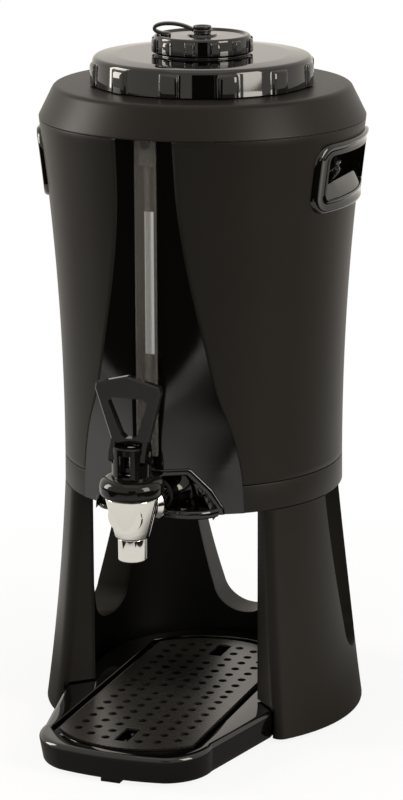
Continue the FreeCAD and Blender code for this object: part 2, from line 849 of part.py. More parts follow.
def foam_base():
    """Foam disc between the bottom plate and the vessel."""
    low = plate_bottom + bottom_plate_thickness + snug
    body = rod(vessel_radius - 2, low, vessel_bottom - snug)
    return cut_all(body, [sump_room(2 * snug), vessel_room(), arch_space(2 * snug)])


def neck_ring():
    """Threaded ring round the vessel's neck, with a flange under the shoulder."""
    bore = vessel_neck_radius + snug
    flange = neck_hole_radius + 5.0
    high = shoulder_top - shell_wall - snug
    low = high - 3.0
    return turned([(bore, low), (flange, low), (flange, high), (neck_ring_radius, high),
                   (neck_ring_radius, neck_ring_top - snug), (bore, neck_ring_top - snug)])


# Sight gauge

def sight_cover():
    """Clear strip over the gauge, rounded along its front edges."""
    back = panel_plane_y - snug
    front = back - cover_thickness
    half, ease = cover_half_width, 0.9
    outline = [(-half, back), (-half, front + ease), (-half + ease, front), (half - ease, front),
               (half, front + ease), (half, back)]
    body = slab_z(outline, cover_bottom, shell_top - snug)
    return body.cut(rod_y(vent_radius + snug, -far, 0, 0, shell_top - vent_radius - 1.0))


def gauge_vent():
    """Round plug at the top of the gauge."""
    z = shell_top - vent_radius - 1.0
    front = panel_plane_y - snug - cover_thickness + 0.8
    body = rod_y(vent_radius, front, tube_y - tube_radius - snug, 0, z)
    return body


def sight_tube():
    """Clear gauge tube."""
    low = tee_spigot_top + 1.0
    return tube(tube_radius, tube_bore, low, shell_top - 14.0, 0, tube_y)


def gauge_top_seal():
    """Rubber seal that holds the top of the gauge tube."""
    low, high = shell_top - 18.0, shell_top - 1.0
    outer = channel_half_width - snug
    y = tube_y
    body = tube(outer, tube_radius + running_gap, low, shell_top - 13.9, 0, y)
    cap = tube(outer, 0.8, shell_top - 13.9, high, 0, y)
    return fuse_all([body, cap]).common(gauge_channel_room())


def gauge_channel_room():
    """Room of the gauge channel behind the cover."""
    half = channel_half_width - snug
    back = tube_y + tube_radius + backing_thickness
    return block((-half, half), (panel_plane_y + snug, back), (0, far + shell_top))


def gauge_bottom_seal():
    """Rubber seal between the tee's spigot and the gauge tube."""
    low, high = tee_spigot_top + 0.9, tee_spigot_top + 9.0
    body = tube(channel_half_width - snug, tube_radius + running_gap, low, high, 0, tube_y)
    return body.common(gauge_channel_room())


def gauge_backing():
    """White strip behind the gauge tube."""
    half = backing_half_width
    front = tube_y + tube_radius + snug
    return block((-half, half), (front, front + backing_thickness), (backing_bottom, backing_top))


# Tap recess and outlet

def tap_recess():
    """Arched lining round the shank: rim, back wall and a lip along the foot."""
    front = panel_front_space(arch_proud)
    rim = arch_space(0, -far, arch_back_y).cut(arch_space(-arch_rim, -far, arch_back_y))
    back = arch_space(0, arch_back_y, arch_back_y + arch_wall)
    high = block((-far, far), (-far, 0), (band_bottom, far + arch_top))
    lining = fuse_all([rim.common(front), back]).common(high)
    back_y = arch_back_y + 1.0
    plan = [(-lip_half_width, lip_front_y), (lip_half_width, lip_front_y),
            (lip_end_x, back_y), (-lip_end_x, back_y)]
    lip = slab_z(plan, band_bottom, floor_top)
    body = fuse_all([lining, lip])
    passages = [rod_y(shank_radius + snug, -far, 0, 0, shank_z),
                rod(tee_spigot_radius + snug, floor_top + 1, far + arch_top, 0, tube_y)]
    return cut_all(body, passages)


def sump_housing():
    """Cover below the container round the elbow and the nut."""
    half, low, wall = sump_half_width, sump_bottom, arch_wall
    front = arch_back_y + arch_wall + snug
    shell = block((-half, half), (front, sump_back_y), (low, plate_bottom))
    room = block((-half + wall, half - wall), (front - 1, sump_back_y - wall), (low + wall, far + low))
    return shell.cut(room)


def tap_shank():
    """Chrome tube from the tap through the recess to the elbow."""
    return turned_y([(shank_bore, shank_front_y), (shank_radius, shank_front_y),
                     (shank_radius, shank_back_y), (shank_bore, shank_back_y)], 0, shank_z)


def above_floor():
    """Everything a little above the floor of the recess."""
    return block((-far, far), (-far, far), (floor_top + snug, far + arch_top))


def gauge_tee():
    """Collar on the shank with an upright spigot for the gauge tube."""
    front, back = tee_front_y(), arch_back_y - gasket_thickness - snug
    collar = rod_y(tee_radius, front, back, 0, shank_z).common(above_floor())
    spigot = rod(tee_spigot_radius, shank_z, tee_spigot_top, 0, tube_y)
    in_channel = spigot.common(gauge_channel_room())
    in_recess = spigot.cut(block((-far, far), (-far, far), (arch_top - 1, far + arch_top)))
    body = fuse_all([collar, in_recess, in_channel])
    bore = rod(tube_bore, shank_z, tee_spigot_top + 1, 0, tube_y)
    return cut_all(body, [rod_y(shank_radius + snug, -far, 0, 0, shank_z), bore])


def tee_front_y():
    """Front of the tee's collar, where the tap's flange meets it."""
    return tube_y - tee_spigot_radius - 0.6


def shank_gasket():
    """Rubber washer between the tee and the recess."""
    bore, front = shank_radius + snug, arch_back_y - gasket_thickness
    washer = turned_y([(bore, front), (gasket_radius, front), (gasket_radius, arch_back_y),
                       (bore, arch_back_y)], 0, shank_z)
    return washer.common(above_floor())


def shank_nut():
    """Nut that clamps the shank from behind."""
    front = arch_back_y + arch_wall
    corners = []
    for turn in range(6):
        angle = math.radians(60 * turn)
        corners.append(vec(nut_radius * math.cos(angle), front, shank_z + nut_radius * math.sin(angle)))
    nut = Part.Face(Part.makePolygon(corners + [corners[0]])).extrude(vec(0, nut_thickness, 0))
    nut = nut.cut(rod_y(shank_radius + snug, -far, 0, 0, shank_z))
    return nut.common(block((-far, far), (-far, far), (sump_bottom + arch_wall + snug, far + shank_z)))


def outlet_elbow():
    """Rubber elbow from the vessel's drain to the shank."""
    top = vessel_bottom - 1.0
    outer = elbow_radius
    back = drain_y + outer
    upright = rod(outer + 1.4, shank_z, top, 0, drain_y)
    level = rod_y(outer, arch_back_y + arch_wall + nut_thickness + snug, drain_y, 0, shank_z)
    knee = Part.makeSphere(outer, vec(0, drain_y, shank_z))
    body = fuse_all([upright, level, knee])
    low = sump_bottom + arch_wall + snug
    body = body.common(block((-far, far), (-far, back + 5), (low, top)))
    cuts = [rod(drain_radius + running_gap, vessel_bottom - drain_length - snug, top + 1, 0, drain_y),
            rod(drain_bore, shank_z, top, 0, drain_y),
            rod_y(shank_radius + running_gap, -far, shank_back_y + snug, 0, shank_z),
            rod_y(shank_bore, shank_back_y, drain_y, 0, shank_z)]
    return cut_all(body, cuts)


# Tap

def tap_body():
    """Chrome cone with a throat, a chamber, a threaded neck and a horn towards the shank."""
    cone = turned([(0, cone_bottom), (cone_bottom_radius, cone_bottom),
                   (cone_waist_radius, cone_waist_z), (cone_top_radius, cone_top),
                   (tap_neck_radius, cone_top),
                   (tap_neck_radius, tap_neck_top), (0, tap_neck_top)], 0, tap_y)
    flange_back = tee_front_y() - snug
    flange_front = flange_back - horn_flange_thickness
    horn = turned_y([(0, tap_y), (horn_radius, tap_y), (horn_radius, flange_front - 3.0),
                     (horn_flange_radius, flange_front), (horn_flange_radius, flange_back),
                     (0, flange_back)], 0, shank_z)
    bonnet_room = rod(bonnet_radius + gap, cone_top, far + cone_top, 0, tap_y)
    body = fuse_all([cone, horn.cut(bonnet_room)])
    throat = rod(spout_bore, cone_bottom - 1, chamber_bottom + 1, 0, tap_y)
    chamber = turned([(0, chamber_bottom), (spout_bore, chamber_bottom),
                      (chamber_radius, chamber_bottom + 4.0), (chamber_radius, tap_neck_top + 1),
                      (0, tap_neck_top + 1)], 0, tap_y)
    inlet = rod_y(shank_bore, tap_y, flange_back + 1, 0, shank_z)
    socket = rod_y(shank_radius + snug, shank_front_y - snug, flange_back + 1, 0, shank_z)
    return cut_all(body, [throat, chamber, inlet, socket])


def tap_spout():
    """Chrome spout under the cone."""
    ease = 1.0
    return turned([(spout_bore, spout_bottom), (spout_radius - ease, spout_bottom),
                   (spout_radius, spout_bottom + ease), (spout_radius, cone_bottom),
                   (spout_bore, cone_bottom)], 0, tap_y)


def bonnet_ring():
    """Black ring that screws the stem tube down on the tap's neck."""
    r, b = bonnet_radius, bonnet_round
    lean = b * (1 - math.sqrt(0.5))
    step_z = tap_neck_top + 2.4
    bore = stem_tube_radius + snug
    foot = cone_top + snug
    return turned([(tap_neck_radius + snug, foot), (bonnet_foot_radius, foot),
                   (r - 0.8, foot + bonnet_foot_round / 2, r, foot + bonnet_foot_round),
                   (r, bonnet_top - b),
                   (r - lean, bonnet_top - lean, r - b, bonnet_top), (bore, bonnet_top),
                   (bore, step_z), (tap_neck_radius + snug, step_z)], 0, tap_y)


def stem_tube():
    """Black tube that guides the stem, with flats for the lever's ears and a front slot."""
    low = tap_neck_top + snug
    flange_top = tap_neck_top + 2.3
    body = turned([(0, low), (tap_neck_radius - 0.4, low), (tap_neck_radius - 0.4, flange_top),
                   (stem_tube_radius, flange_top), (stem_tube_radius, stem_tube_top - 0.8),
                   (stem_tube_radius - 0.8, stem_tube_top), (0, stem_tube_top)], 0, tap_y)
    flats = block((flat_half_width, far), (-far - 20, 0), (shoulder_flat_z, far + stem_tube_top))
    pin_room = pin_radius + gap
    slot_low = pin_z - pin_room
    pin_slot = block((-far, far), (tap_y - pin_room, tap_y + pin_room), (slot_low, far + slot_low))
    chamber_low = rod(stem_tube_bore, low - 1, stem_web_bottom, 0, tap_y)
    chamber_high = rod(stem_radius + 3.4, stem_web_top, stem_tube_top + 1, 0, tap_y)
    bore = rod(stem_radius + running_gap, 0, far + stem_tube_top, 0, tap_y)
    slot = block((-front_slot_half_width, front_slot_half_width),
                 (tap_y - stem_tube_radius - 1, tap_y - stem_radius - 3.0),
                 (front_slot_bottom, front_slot_top))
    return cut_all(body, [chamber_low, chamber_high, bore, slot, pin_slot] + both_sides(flats))


def tap_stem():
    """Stem that the lever lifts, with a cross hole for the pin."""
    low = chamber_bottom + seat_cup_height - 2.0
    body = turned([(0, low), (stem_radius + 2.2, low), (stem_radius + 2.2, low + 1.6),
                   (stem_radius, low + 1.6), (stem_radius, stem_top - 0.8),
                   (stem_radius - 0.8, stem_top), (0, stem_top)], 0, tap_y)
    return body.cut(rod_x(pin_radius, -far, far, tap_y, pin_z))


def seat_cup():
    """Soft cup that closes the throat."""
    low = chamber_bottom + 1.2
    r = seat_cup_radius
    high = low + seat_cup_height
    stem_low = chamber_bottom + seat_cup_height - 2.0
    body = turned([(0, low), (spout_bore - 1.5, low), (r, low + 3.4), (r, high - 1.5),
                   (r - 1.5, high), (0, high)], 0, tap_y)
    pocket = turned([(0, stem_low), (stem_radius + 2.2, stem_low), (stem_radius + 2.2, stem_low + 1.6),
                     (stem_radius, stem_low + 1.6), (stem_radius, high + 1), (0, high + 1)], 0, tap_y)
    return body.cut(pocket)


def tap_spring():
    """Coil spring that presses the seat cup down, as one unbroken wire."""
    low = chamber_bottom + 1.2 + seat_cup_height + spring_wire / 2 + gap
    high = stem_web_bottom - spring_wire / 2 - gap
    steps_per_turn = 4
    count = spring_turns * steps_per_turn

    def point(step):
        """A point on the helix, by quarter turns."""
        angle = 2 * math.pi * step / steps_per_turn
        z = low + (high - low) * step / count
        return vec(spring_radius * math.cos(angle), tap_y + spring_radius * math.sin(angle), z)

    arcs = [Part.Arc(point(k), point(k + 0.5), point(k + 1)).toShape() for k in range(count)]
    spine = Part.Wire(arcs)
    track = [point(k / 4) for k in range(4 * count + 1)]
    near = min(a.distanceToPoint(b) for i, a in enumerate(track) for b in track[i + 2 * steps_per_turn:])
    print(f"tap_spring: least gap to itself {near - spring_wire:.2f} mm")
    start = point(0)
    section = Part.Wire(Part.Circle(start, point(0.02).sub(start), spring_wire / 2).toShape())
    return spine.makePipeShell([section], True, False)


def lever_pin():
    """Pin through the stem and the lever's ears."""
    reach = flat_half_width + gap + ear_thickness
    return rod_x(pin_radius, -reach, reach, tap_y, pin_z)


def lever_centre_y(z):
    """The lever leans forward towards its top."""
    share = (z - pin_z) / (lever_peak_z - pin_z)
    return tap_y - lever_lean * share


def cam_point(tilt):
    """Point of the ear's rounded front foot that rolls on the tube's flat at a tilt."""
    slope = (lift - gap) / math.radians(full_tilt)
    turn = math.radians(tilt)
    reach = ear_reach + slope * turn
    return (tap_y - reach * math.sin(turn) - slope * math.cos(turn),
            pin_z - reach * math.cos(turn) + slope * math.sin(turn))


def lever_blank():
    """Leaning plate with the lever's outline and eased edges."""
    outline = [(-lever_bottom_half_width, lever_bottom), (lever_bottom_half_width, lever_bottom),
               (lever_corner_half_width, lever_corner_z), (lever_corner_half_width - 1.0, lever_crown_z),
               (0, lever_peak_z), (-lever_corner_half_width + 1.0, lever_crown_z),
               (-lever_corner_half_width, lever_corner_z)]
    low, high = lever_bottom - 1, lever_peak_z + 1
    foot, top = lever_foot_depth / 2, lever_top_depth / 2
    side = [(lever_centre_y(low) - foot, low), (lever_centre_y(low) + foot, low),
            (lever_centre_y(high) + top, high), (lever_centre_y(high) - top, high)]
    body = slab_y(outline, tap_y - far / 3, tap_y + far / 3).common(slab_x(side, -far, far))
    faces = sorted(body.Faces, key=lambda face: face.CenterOfMass.y)
    front_edges = faces[0].Edges
    return body.makeChamfer(lever_chamfer, front_edges)


def tap_lever():
    """Open-loop lever: faceted head, two arms and two ears on the pin."""
    a, b, c = loop_bottom_half_width, loop_top_half_width, loop_round
    loop = [(-a + c, loop_bottom), (a - c, loop_bottom), (a, loop_bottom + c),
            (b, loop_top - c), (b - c, loop_top), (-b + c, loop_top),
            (-b, loop_top - c), (-a, loop_bottom + c)]
    body = lever_blank().cut(slab_y(loop, -2 * far, far))
    inner, outer = flat_half_width + gap, flat_half_width + gap + ear_thickness
    back, neck = tap_y + ear_half_width, lever_bottom + 4.0
    foot = pin_z - ear_reach
    front = cam_point(full_tilt)
    ear_side = [front, cam_point(full_tilt / 2) + cam_point(0), (back - 1.2, foot), (back, foot + 1.2),
                (back - 1.0, pin_z + 2.0), (lever_centre_y(neck) + 2.6, neck),
                (lever_centre_y(neck) - 2.4, neck), (front[0] + 1.0, pin_z + 1.5)]
    ear = slab_x(ear_side, inner, outer)
    body = fuse_all([body] + both_sides(ear))
    return body.cut(rod_x(pin_radius + running_gap, -far, far, tap_y, pin_z))


# Lid

def lug_ring(count, width, phase, inner, outer, low, high):
    """Grip lugs round a lid."""
    lugs = []
    ease = 0.8
    for index in range(count):
        lug = slab_z([(-width / 2, -inner), (-width / 2 + ease, -outer - 1), (width / 2 - ease, -outer - 1),
                      (width / 2, -inner)], low, high)
        lug = lug.common(rod(outer, low, high))
        lug.rotate(vec(0, 0, 0), vec(0, 0, 1), phase + index * 360.0 / count)
        lugs.append(lug)
    return lugs


def main_lid():
    """Big screw lid with a rounded edge, a slightly flared wall and grip lugs."""
    c = lid_round
    lean = c * (1 - math.sqrt(0.5))
    bore = neck_ring_radius + gap + 0.5
    body = turned([(lid_hole_radius, lid_under), (bore, lid_under), (bore, lid_bottom),
                   (lid_radius + lid_flare, lid_bottom), (lid_radius, lid_top - c),
                   (lid_radius - lean, lid_top - lean, lid_radius - c, lid_top),
                   (lid_hole_radius, lid_top)])
    lugs = lug_ring(lid_lug_count, lid_lug_width, lid_lug_phase, lid_radius - 2, lid_lug_radius,
                    lid_bottom, lid_top - c)
    return fuse_all([body] + lugs)


def lid_gasket():
    """Flat ring between the vessel's lip and the lid."""
    outer = neck_ring_radius - 1.0
    inner = vessel_neck_radius - vessel_wall + 0.6
    low = lip_top + gap
    return tube(outer, inner, low, low + lid_gasket_thickness)


def lid_liner():
    """Shallow cup under the lid that holds its foam."""
    outer = vessel_neck_radius - vessel_wall - 2 * gap
    inner = lid_hole_radius + snug
    wall = lid_liner_wall
    low, high = lid_liner_bottom, lid_under - snug
    body = tube(outer, inner, low, high)
    return body.cut(tube(outer - wall, inner + wall, low + wall, high + 1))


def lid_foam():
    """Foam ring inside the lid's liner."""
    wall = lid_liner_wall + snug
    outer = vessel_neck_radius - vessel_wall - 2 * gap - wall
    inner = lid_hole_radius + snug + wall
    return tube(outer, inner, lid_liner_bottom + wall, lid_under - 2 * snug)


def fill_neck():
    """Threaded neck in the lid's middle, with a flange on top of the lid."""
    sleeve = lid_hole_radius - snug
    ease = 0.8
    return turned([(fill_bore, lid_liner_bottom), (sleeve, lid_liner_bottom), (sleeve, lid_top),
                   (fill_flange_radius, lid_top), (fill_flange_radius, fill_flange_top - ease),
                   (fill_flange_radius - ease, fill_flange_top), (fill_neck_radius, fill_flange_top),
                   (fill_neck_radius, fill_neck_top), (fill_bore, fill_neck_top)])


# Small cap

def cap_gasket():
    """Flat ring between the fill neck and the small cap."""
    low = fill_neck_top + gap
    return tube(fill_neck_radius - 0.5, fill_bore + 0.5, low, low + cap_gasket_thickness)


def fill_cap():
    """Small screw cap with grip lugs, a raised rim, a middle boss and a vent hole."""
    c = cap_round
    lean = c * (1 - math.sqrt(0.5))
    bore = fill_neck_radius + gap + 0.4
    rim_inner = cap_radius - cap_rim_width
    floor = cap_top - cap_recess
    body = turned([(plug_stem_radius, cap_under), (bore, cap_under), (bore, cap_bottom),
                   (cap_radius, cap_bottom), (cap_radius, cap_top - c),
                   (cap_radius - lean, cap_top - lean, cap_radius - c, cap_top),
                   (rim_inner, cap_top), (rim_inner - 1.0, floor), (cap_boss_radius + 0.8, floor),
                   (cap_boss_radius, cap_top), (plug_stem_radius, cap_top)])
    lugs = lug_ring(cap_lug_count, cap_lug_width, cap_lug_phase, cap_radius - 2, cap_lug_radius,
                    cap_bottom, cap_top - c)
    return fuse_all([body] + lugs)


def vent_plug():
    """Rubber plug: stem in the vent hole, seat disc, waist and flared head."""
    disc_top = plug_base + plug_disc_height
    waist_top = disc_top + plug_waist_height
    top = plug_base + plug_height
    stem = plug_stem_radius - running_gap
    low = cap_top - plug_stem_length
    return turned([(0, low), (stem - 0.6, low), (stem, low + 0.8), (stem, plug_base),
                   (plug_disc_radius, plug_base), (plug_disc_radius, disc_top - 0.3),
                   (plug_disc_radius - 0.3, disc_top), (plug_waist_radius, disc_top),
                   (plug_waist_radius, waist_top), (plug_head_radius - 0.7, waist_top),
                   (plug_head_radius, top), (plug_head_radius - 1.0, top),
                   (plug_waist_radius - 1.0, top - 1.0), (0, top - 1.0)])


def strap_line(share):
    """Middle line of the tether's loop in its own plane: distance from the plug, and height."""
    ring_z = plug_base + plug_disc_height + plug_waist_height / 2
    foot_z = cap_top - cap_recess + strap_thickness
    controls = [(plug_head_radius - 0.5, ring_z), (strap_foot_reach - 6.0, ring_z + 1.7 * strap_rise),
                (strap_reach + 10.0, ring_z + strap_rise), (strap_reach + 2.0, foot_z),
                (strap_foot_reach - 2.0, foot_z)]
    while len(controls) > 1:
        controls = [(a[0] + (b[0] - a[0]) * share, a[1] + (b[1] - a[1]) * share)
                    for a, b in zip(controls, controls[1:])]
    return controls[0]


def strap_side(offset, count=14):
    """Points beside the middle line, at a distance across it."""
    points = []
    for index in range(count + 1):
        share = index / count
        a, b = strap_line(max(share - 0.005, 0)), strap_line(min(share + 0.005, 1))
        along = math.hypot(b[0] - a[0], b[1] - a[1])
        s, z = strap_line(share)
        points.append((s - offset * (b[1] - a[1]) / along, z + offset * (b[0] - a[0]) / along))
    return points


def plug_strap():
    """Flat rubber tether: ring round the plug's waist, loop, and foot pinned to the cap."""
    half = strap_width / 2
    curves = []
    for offset in (strap_thickness / 2, -strap_thickness / 2):
        curve = Part.BSplineCurve()
        points = strap_side(offset)
        curve.interpolate([vec(s, -half, z) for s, z in points])
        curves.append((curve.toShape(), vec(points[0][0], -half, points[0][1]),
                       vec(points[-1][0], -half, points[-1][1])))
    edges = [curves[0][0], Part.makeLine(curves[0][2], curves[1][2]), curves[1][0],
             Part.makeLine(curves[1][1], curves[0][1])]
    band = Part.Face(Part.Wire(Part.__sortEdges__(edges))).extrude(vec(0, strap_width, 0))
    ring_low = plug_base + plug_disc_height + gap
    ring_high = ring_low + plug_waist_height - 2 * gap
    ring = tube(plug_head_radius + 0.8, plug_waist_radius + gap, ring_low, ring_high)
    floor = cap_top - cap_recess
    foot = rod(strap_foot_radius, floor, floor + strap_thickness * 1.3, strap_foot_reach, 0)
    room = rod(plug_head_radius + 0.4, 0, far + cap_top + far)
    body = fuse_all([ring, band.cut(room).cut(rod(far, 0, floor)), foot])
    body.rotate(vec(0, 0, 0), vec(0, 0, 1), strap_angle)
    return body


def main():
    """Make and write every piece."""
    os.makedirs("parts", exist_ok=True)
    pieces = [stand_skirt, base_ring, base_screws, stand_feet, drip_tray, drip_grate, outer_shell,
              base_band, bottom_plate, shoulder_collar, front_panel, inner_vessel, vessel_top, foam_jacket,
              foam_base, neck_ring, sight_cover, gauge_vent, sight_tube, gauge_top_seal,
              gauge_bottom_seal, gauge_backing, tap_recess, sump_housing, tap_shank, gauge_tee,
              shank_gasket, shank_nut, outlet_elbow, tap_body, tap_spout, bonnet_ring, stem_tube,
              tap_stem, seat_cup, tap_spring, lever_pin, tap_lever, main_lid, lid_gasket,
              lid_liner, lid_foam, fill_neck, cap_gasket, fill_cap, vent_plug, plug_strap]
    for piece in pieces:
        write(piece.__name__, piece())
    right = handle()
    write("handle_right", right)
    write("handle_left", mirrored(right))


main()
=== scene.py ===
"""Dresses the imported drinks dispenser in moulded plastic, polished metal and rubber.

Sizes in the classes are millimetres, and a mesh is scaled to metres when it is made; the studio
is in metres. +Z is up, the front with the tap faces -Y, and the origin lies on the table below
the container's axis. Angles round the axis are counted from the front towards +X:
x = r sin a, y = -r cos a. A profile is a row of (radius, height, rounding) corners.
"""
import json
import logging
import math
from dataclasses import dataclass, field
from enum import Enum
from typing import Callable

import bpy
import numpy as np
from mathutils import Matrix, Vector


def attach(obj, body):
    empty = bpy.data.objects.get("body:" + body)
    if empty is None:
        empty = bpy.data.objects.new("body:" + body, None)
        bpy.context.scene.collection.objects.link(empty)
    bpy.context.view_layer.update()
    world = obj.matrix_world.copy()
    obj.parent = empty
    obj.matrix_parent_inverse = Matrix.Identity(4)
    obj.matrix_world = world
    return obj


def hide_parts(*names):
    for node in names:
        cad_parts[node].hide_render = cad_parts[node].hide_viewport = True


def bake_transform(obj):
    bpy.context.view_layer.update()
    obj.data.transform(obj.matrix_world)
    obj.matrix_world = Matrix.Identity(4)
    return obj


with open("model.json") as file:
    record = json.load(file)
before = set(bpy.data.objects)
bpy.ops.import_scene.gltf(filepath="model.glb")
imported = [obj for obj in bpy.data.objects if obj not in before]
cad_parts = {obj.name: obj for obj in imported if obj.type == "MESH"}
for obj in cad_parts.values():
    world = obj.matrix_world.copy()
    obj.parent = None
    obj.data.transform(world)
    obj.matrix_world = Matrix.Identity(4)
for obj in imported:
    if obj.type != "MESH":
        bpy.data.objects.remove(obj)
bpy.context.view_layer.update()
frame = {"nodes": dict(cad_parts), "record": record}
log = logging.getLogger("dispenser")

MM = 0.001
UP = np.array([0.0, 0.0, 1.0])
MIRROR = np.array([-1.0, 1.0, 1.0])
Triple = tuple[float, float, float]
Four = tuple[float, float, float, float]
Corners = tuple[Triple, ...]
Curve = Callable[[np.ndarray], np.ndarray]


class Slot(Enum):
    """The record's material slots."""

    SATIN = "satin_shell"
    GLOSS = "gloss_panel"
    TAP_BLACK = "tap_black"
    GRATE = "grate_plastic"
    CHROME = "chrome_tap"
    STEEL = "steel_parts"
    CLEAR = "clear_cover"
    WHITE = "white_strip"
    RUBBER = "black_rubber"
    SILICONE = "valve_rubber"
    INNER = "inner_plastic"
    FOAM = "foam"


# Shader maths


class Signal:
    """A shader socket that Python expressions can use; every operation adds a Math node."""

    def __init__(self, graph: "Graph", socket: bpy.types.NodeSocket) -> None:
        """Keep the graph and its socket."""
        self.graph = graph
        self.socket = socket

    def _math(self, operation: str, first: object, second: object) -> "Signal":
        """One Math node on two values or signals."""
        return self.graph.node("ShaderNodeMath", {"operation": operation}, {0: first, 1: second})

    def __add__(self, other: object) -> "Signal":
        """Sum."""
        return self._math("ADD", self, other)

    __radd__ = __add__

    def __sub__(self, other: object) -> "Signal":
        """Difference."""
        return self._math("SUBTRACT", self, other)

    def __rsub__(self, other: object) -> "Signal":
        """Difference from a number."""
        return self._math("SUBTRACT", other, self)

    def __mul__(self, other: object) -> "Signal":
        """Product."""
        return self._math("MULTIPLY", self, other)

    __rmul__ = __mul__

    def at_least(self, other: object) -> "Signal":
        """The larger of two values."""
        return self._math("MAXIMUM", self, other)

    def at_most(self, other: object) -> "Signal":
        """The smaller of two values."""
        return self._math("MINIMUM", self, other)

    def fade(self, rate: float) -> "Signal":
        """0 below zero, rising at a rate to 1."""
        return (self * rate).at_least(0.0).at_most(1.0)


class Graph:
    """The node tree of a material or the world."""

    def __init__(self, owner: bpy.types.ID) -> None:
        """Start from an empty tree.

        Args:
            owner: The material or world.
        """
        owner.use_nodes = True
        self.tree = owner.node_tree
        self.tree.nodes.clear()

    def node(self, kind: str, settings: dict | None = None, inputs: dict | None = None,
             output: int | str = 0) -> Signal:
        """Add a node.

        Args:
            kind: Blender's node type.
            settings: Node settings, set first; "stops" gives a ramp's (place, colour) pairs.
            inputs: Values or signals by socket.
            output: The output that the result stands for.

        Returns:
            The chosen output.
        """
        made = self.tree.nodes.new(kind)
        for name, value in (settings or {}).items():
            if name == "stops":
                ramp = made.color_ramp.elements
                for element, (place, colour) in zip([ramp[0], ramp[1]] + [
                        ramp.new(0.5) for _ in value[2:]], value):
                    element.position = place
                    element.color = colour
            else:
                setattr(made, name, value)
        for key, value in (inputs or {}).items():
            if isinstance(value, Signal):
                self.tree.links.new(value.socket, made.inputs[key])
            else:
                made.inputs[key].default_value = value
        return Signal(self, made.outputs[output])

    def place(self) -> Signal:
        """Object coordinates."""
        return self.node("ShaderNodeTexCoord", output="Object")

    def axes(self) -> list[Signal]:
        """Object coordinates, one signal for each axis."""
        split = self.node("ShaderNodeSeparateXYZ", {}, {0: self.place()})
        return [Signal(self, socket) for socket in split.socket.node.outputs]

    def stretched(self, x: float, y: float, z: float) -> Signal:
        """Object coordinates scaled along each axis."""
        return self.node("ShaderNodeMapping", {}, {"Vector": self.place(), "Scale": (x, y, z)})

    def noise(self, scale: float, detail: float = 2.0, vector: Signal | None = None) -> Signal:
        """Soft noise from 0 to 1, in waves per metre."""
        return self.node("ShaderNodeTexNoise", {},
                         {"Vector": vector or self.place(), "Scale": scale, "Detail": detail})

    def mixed(self, share: Signal, first: Triple | Signal, second: Triple) -> Signal:
        """Colour between two colours.

        Args:
            share: How much of the second.
            first: A plain colour or a signal.
            second: A plain colour.

        Returns:
            The mixed colour.
        """
        first = first if isinstance(first, Signal) else (*first, 1.0)
        return self.node("ShaderNodeMix", {"data_type": "RGBA"},
                         {0: share, 6: first, 7: (*second, 1.0)}, output=2)

    def ramp(self, value: Signal, stops: tuple[tuple[float, float], ...]) -> Signal:
        """A value bent by (place, level) stops."""
        shades = [(place, (level, level, level, 1.0)) for place, level in stops]
        return self.node("ShaderNodeValToRGB", {"stops": shades}, {"Fac": value})

    def bump(self, height: Signal, strength: float, depth: float) -> Signal:
        """Surface normal moved by a height; depth in metres."""
        return self.node("ShaderNodeBump", {}, {"Height": height, "Strength": strength,
                                                "Distance": depth})

    def principled(self, inputs: dict) -> Signal:
        """Principled shader with these inputs."""
        return self.node("ShaderNodeBsdfPrincipled", {}, inputs)

    def end(self, shader: Signal, kind: str = "ShaderNodeOutputMaterial") -> None:
        """Link a shader to the tree's output node."""
        self.tree.links.new(shader.socket, self.tree.nodes.new(kind).inputs["Surface"])


# Finishes


def shade(colour: Triple, factor: float) -> Triple:
    """A colour made lighter or darker."""
    return tuple(min(part * factor, 1.0) for part in colour)


@dataclass(frozen=True)
class Finish:
    """What every finish has: a name and a colour."""

    name: str
    colour: Triple

    def material(self) -> bpy.types.Material:
        """Build the material.

        Returns:
            The material, with the shader of its kind.
        """
        made = bpy.data.materials.new(self.name)
        graph = Graph(made)
        graph.end(self.shader(graph))
        return made

    def shader(self, graph: Graph) -> Signal:
        """The shader of this kind of finish."""
        raise NotImplementedError


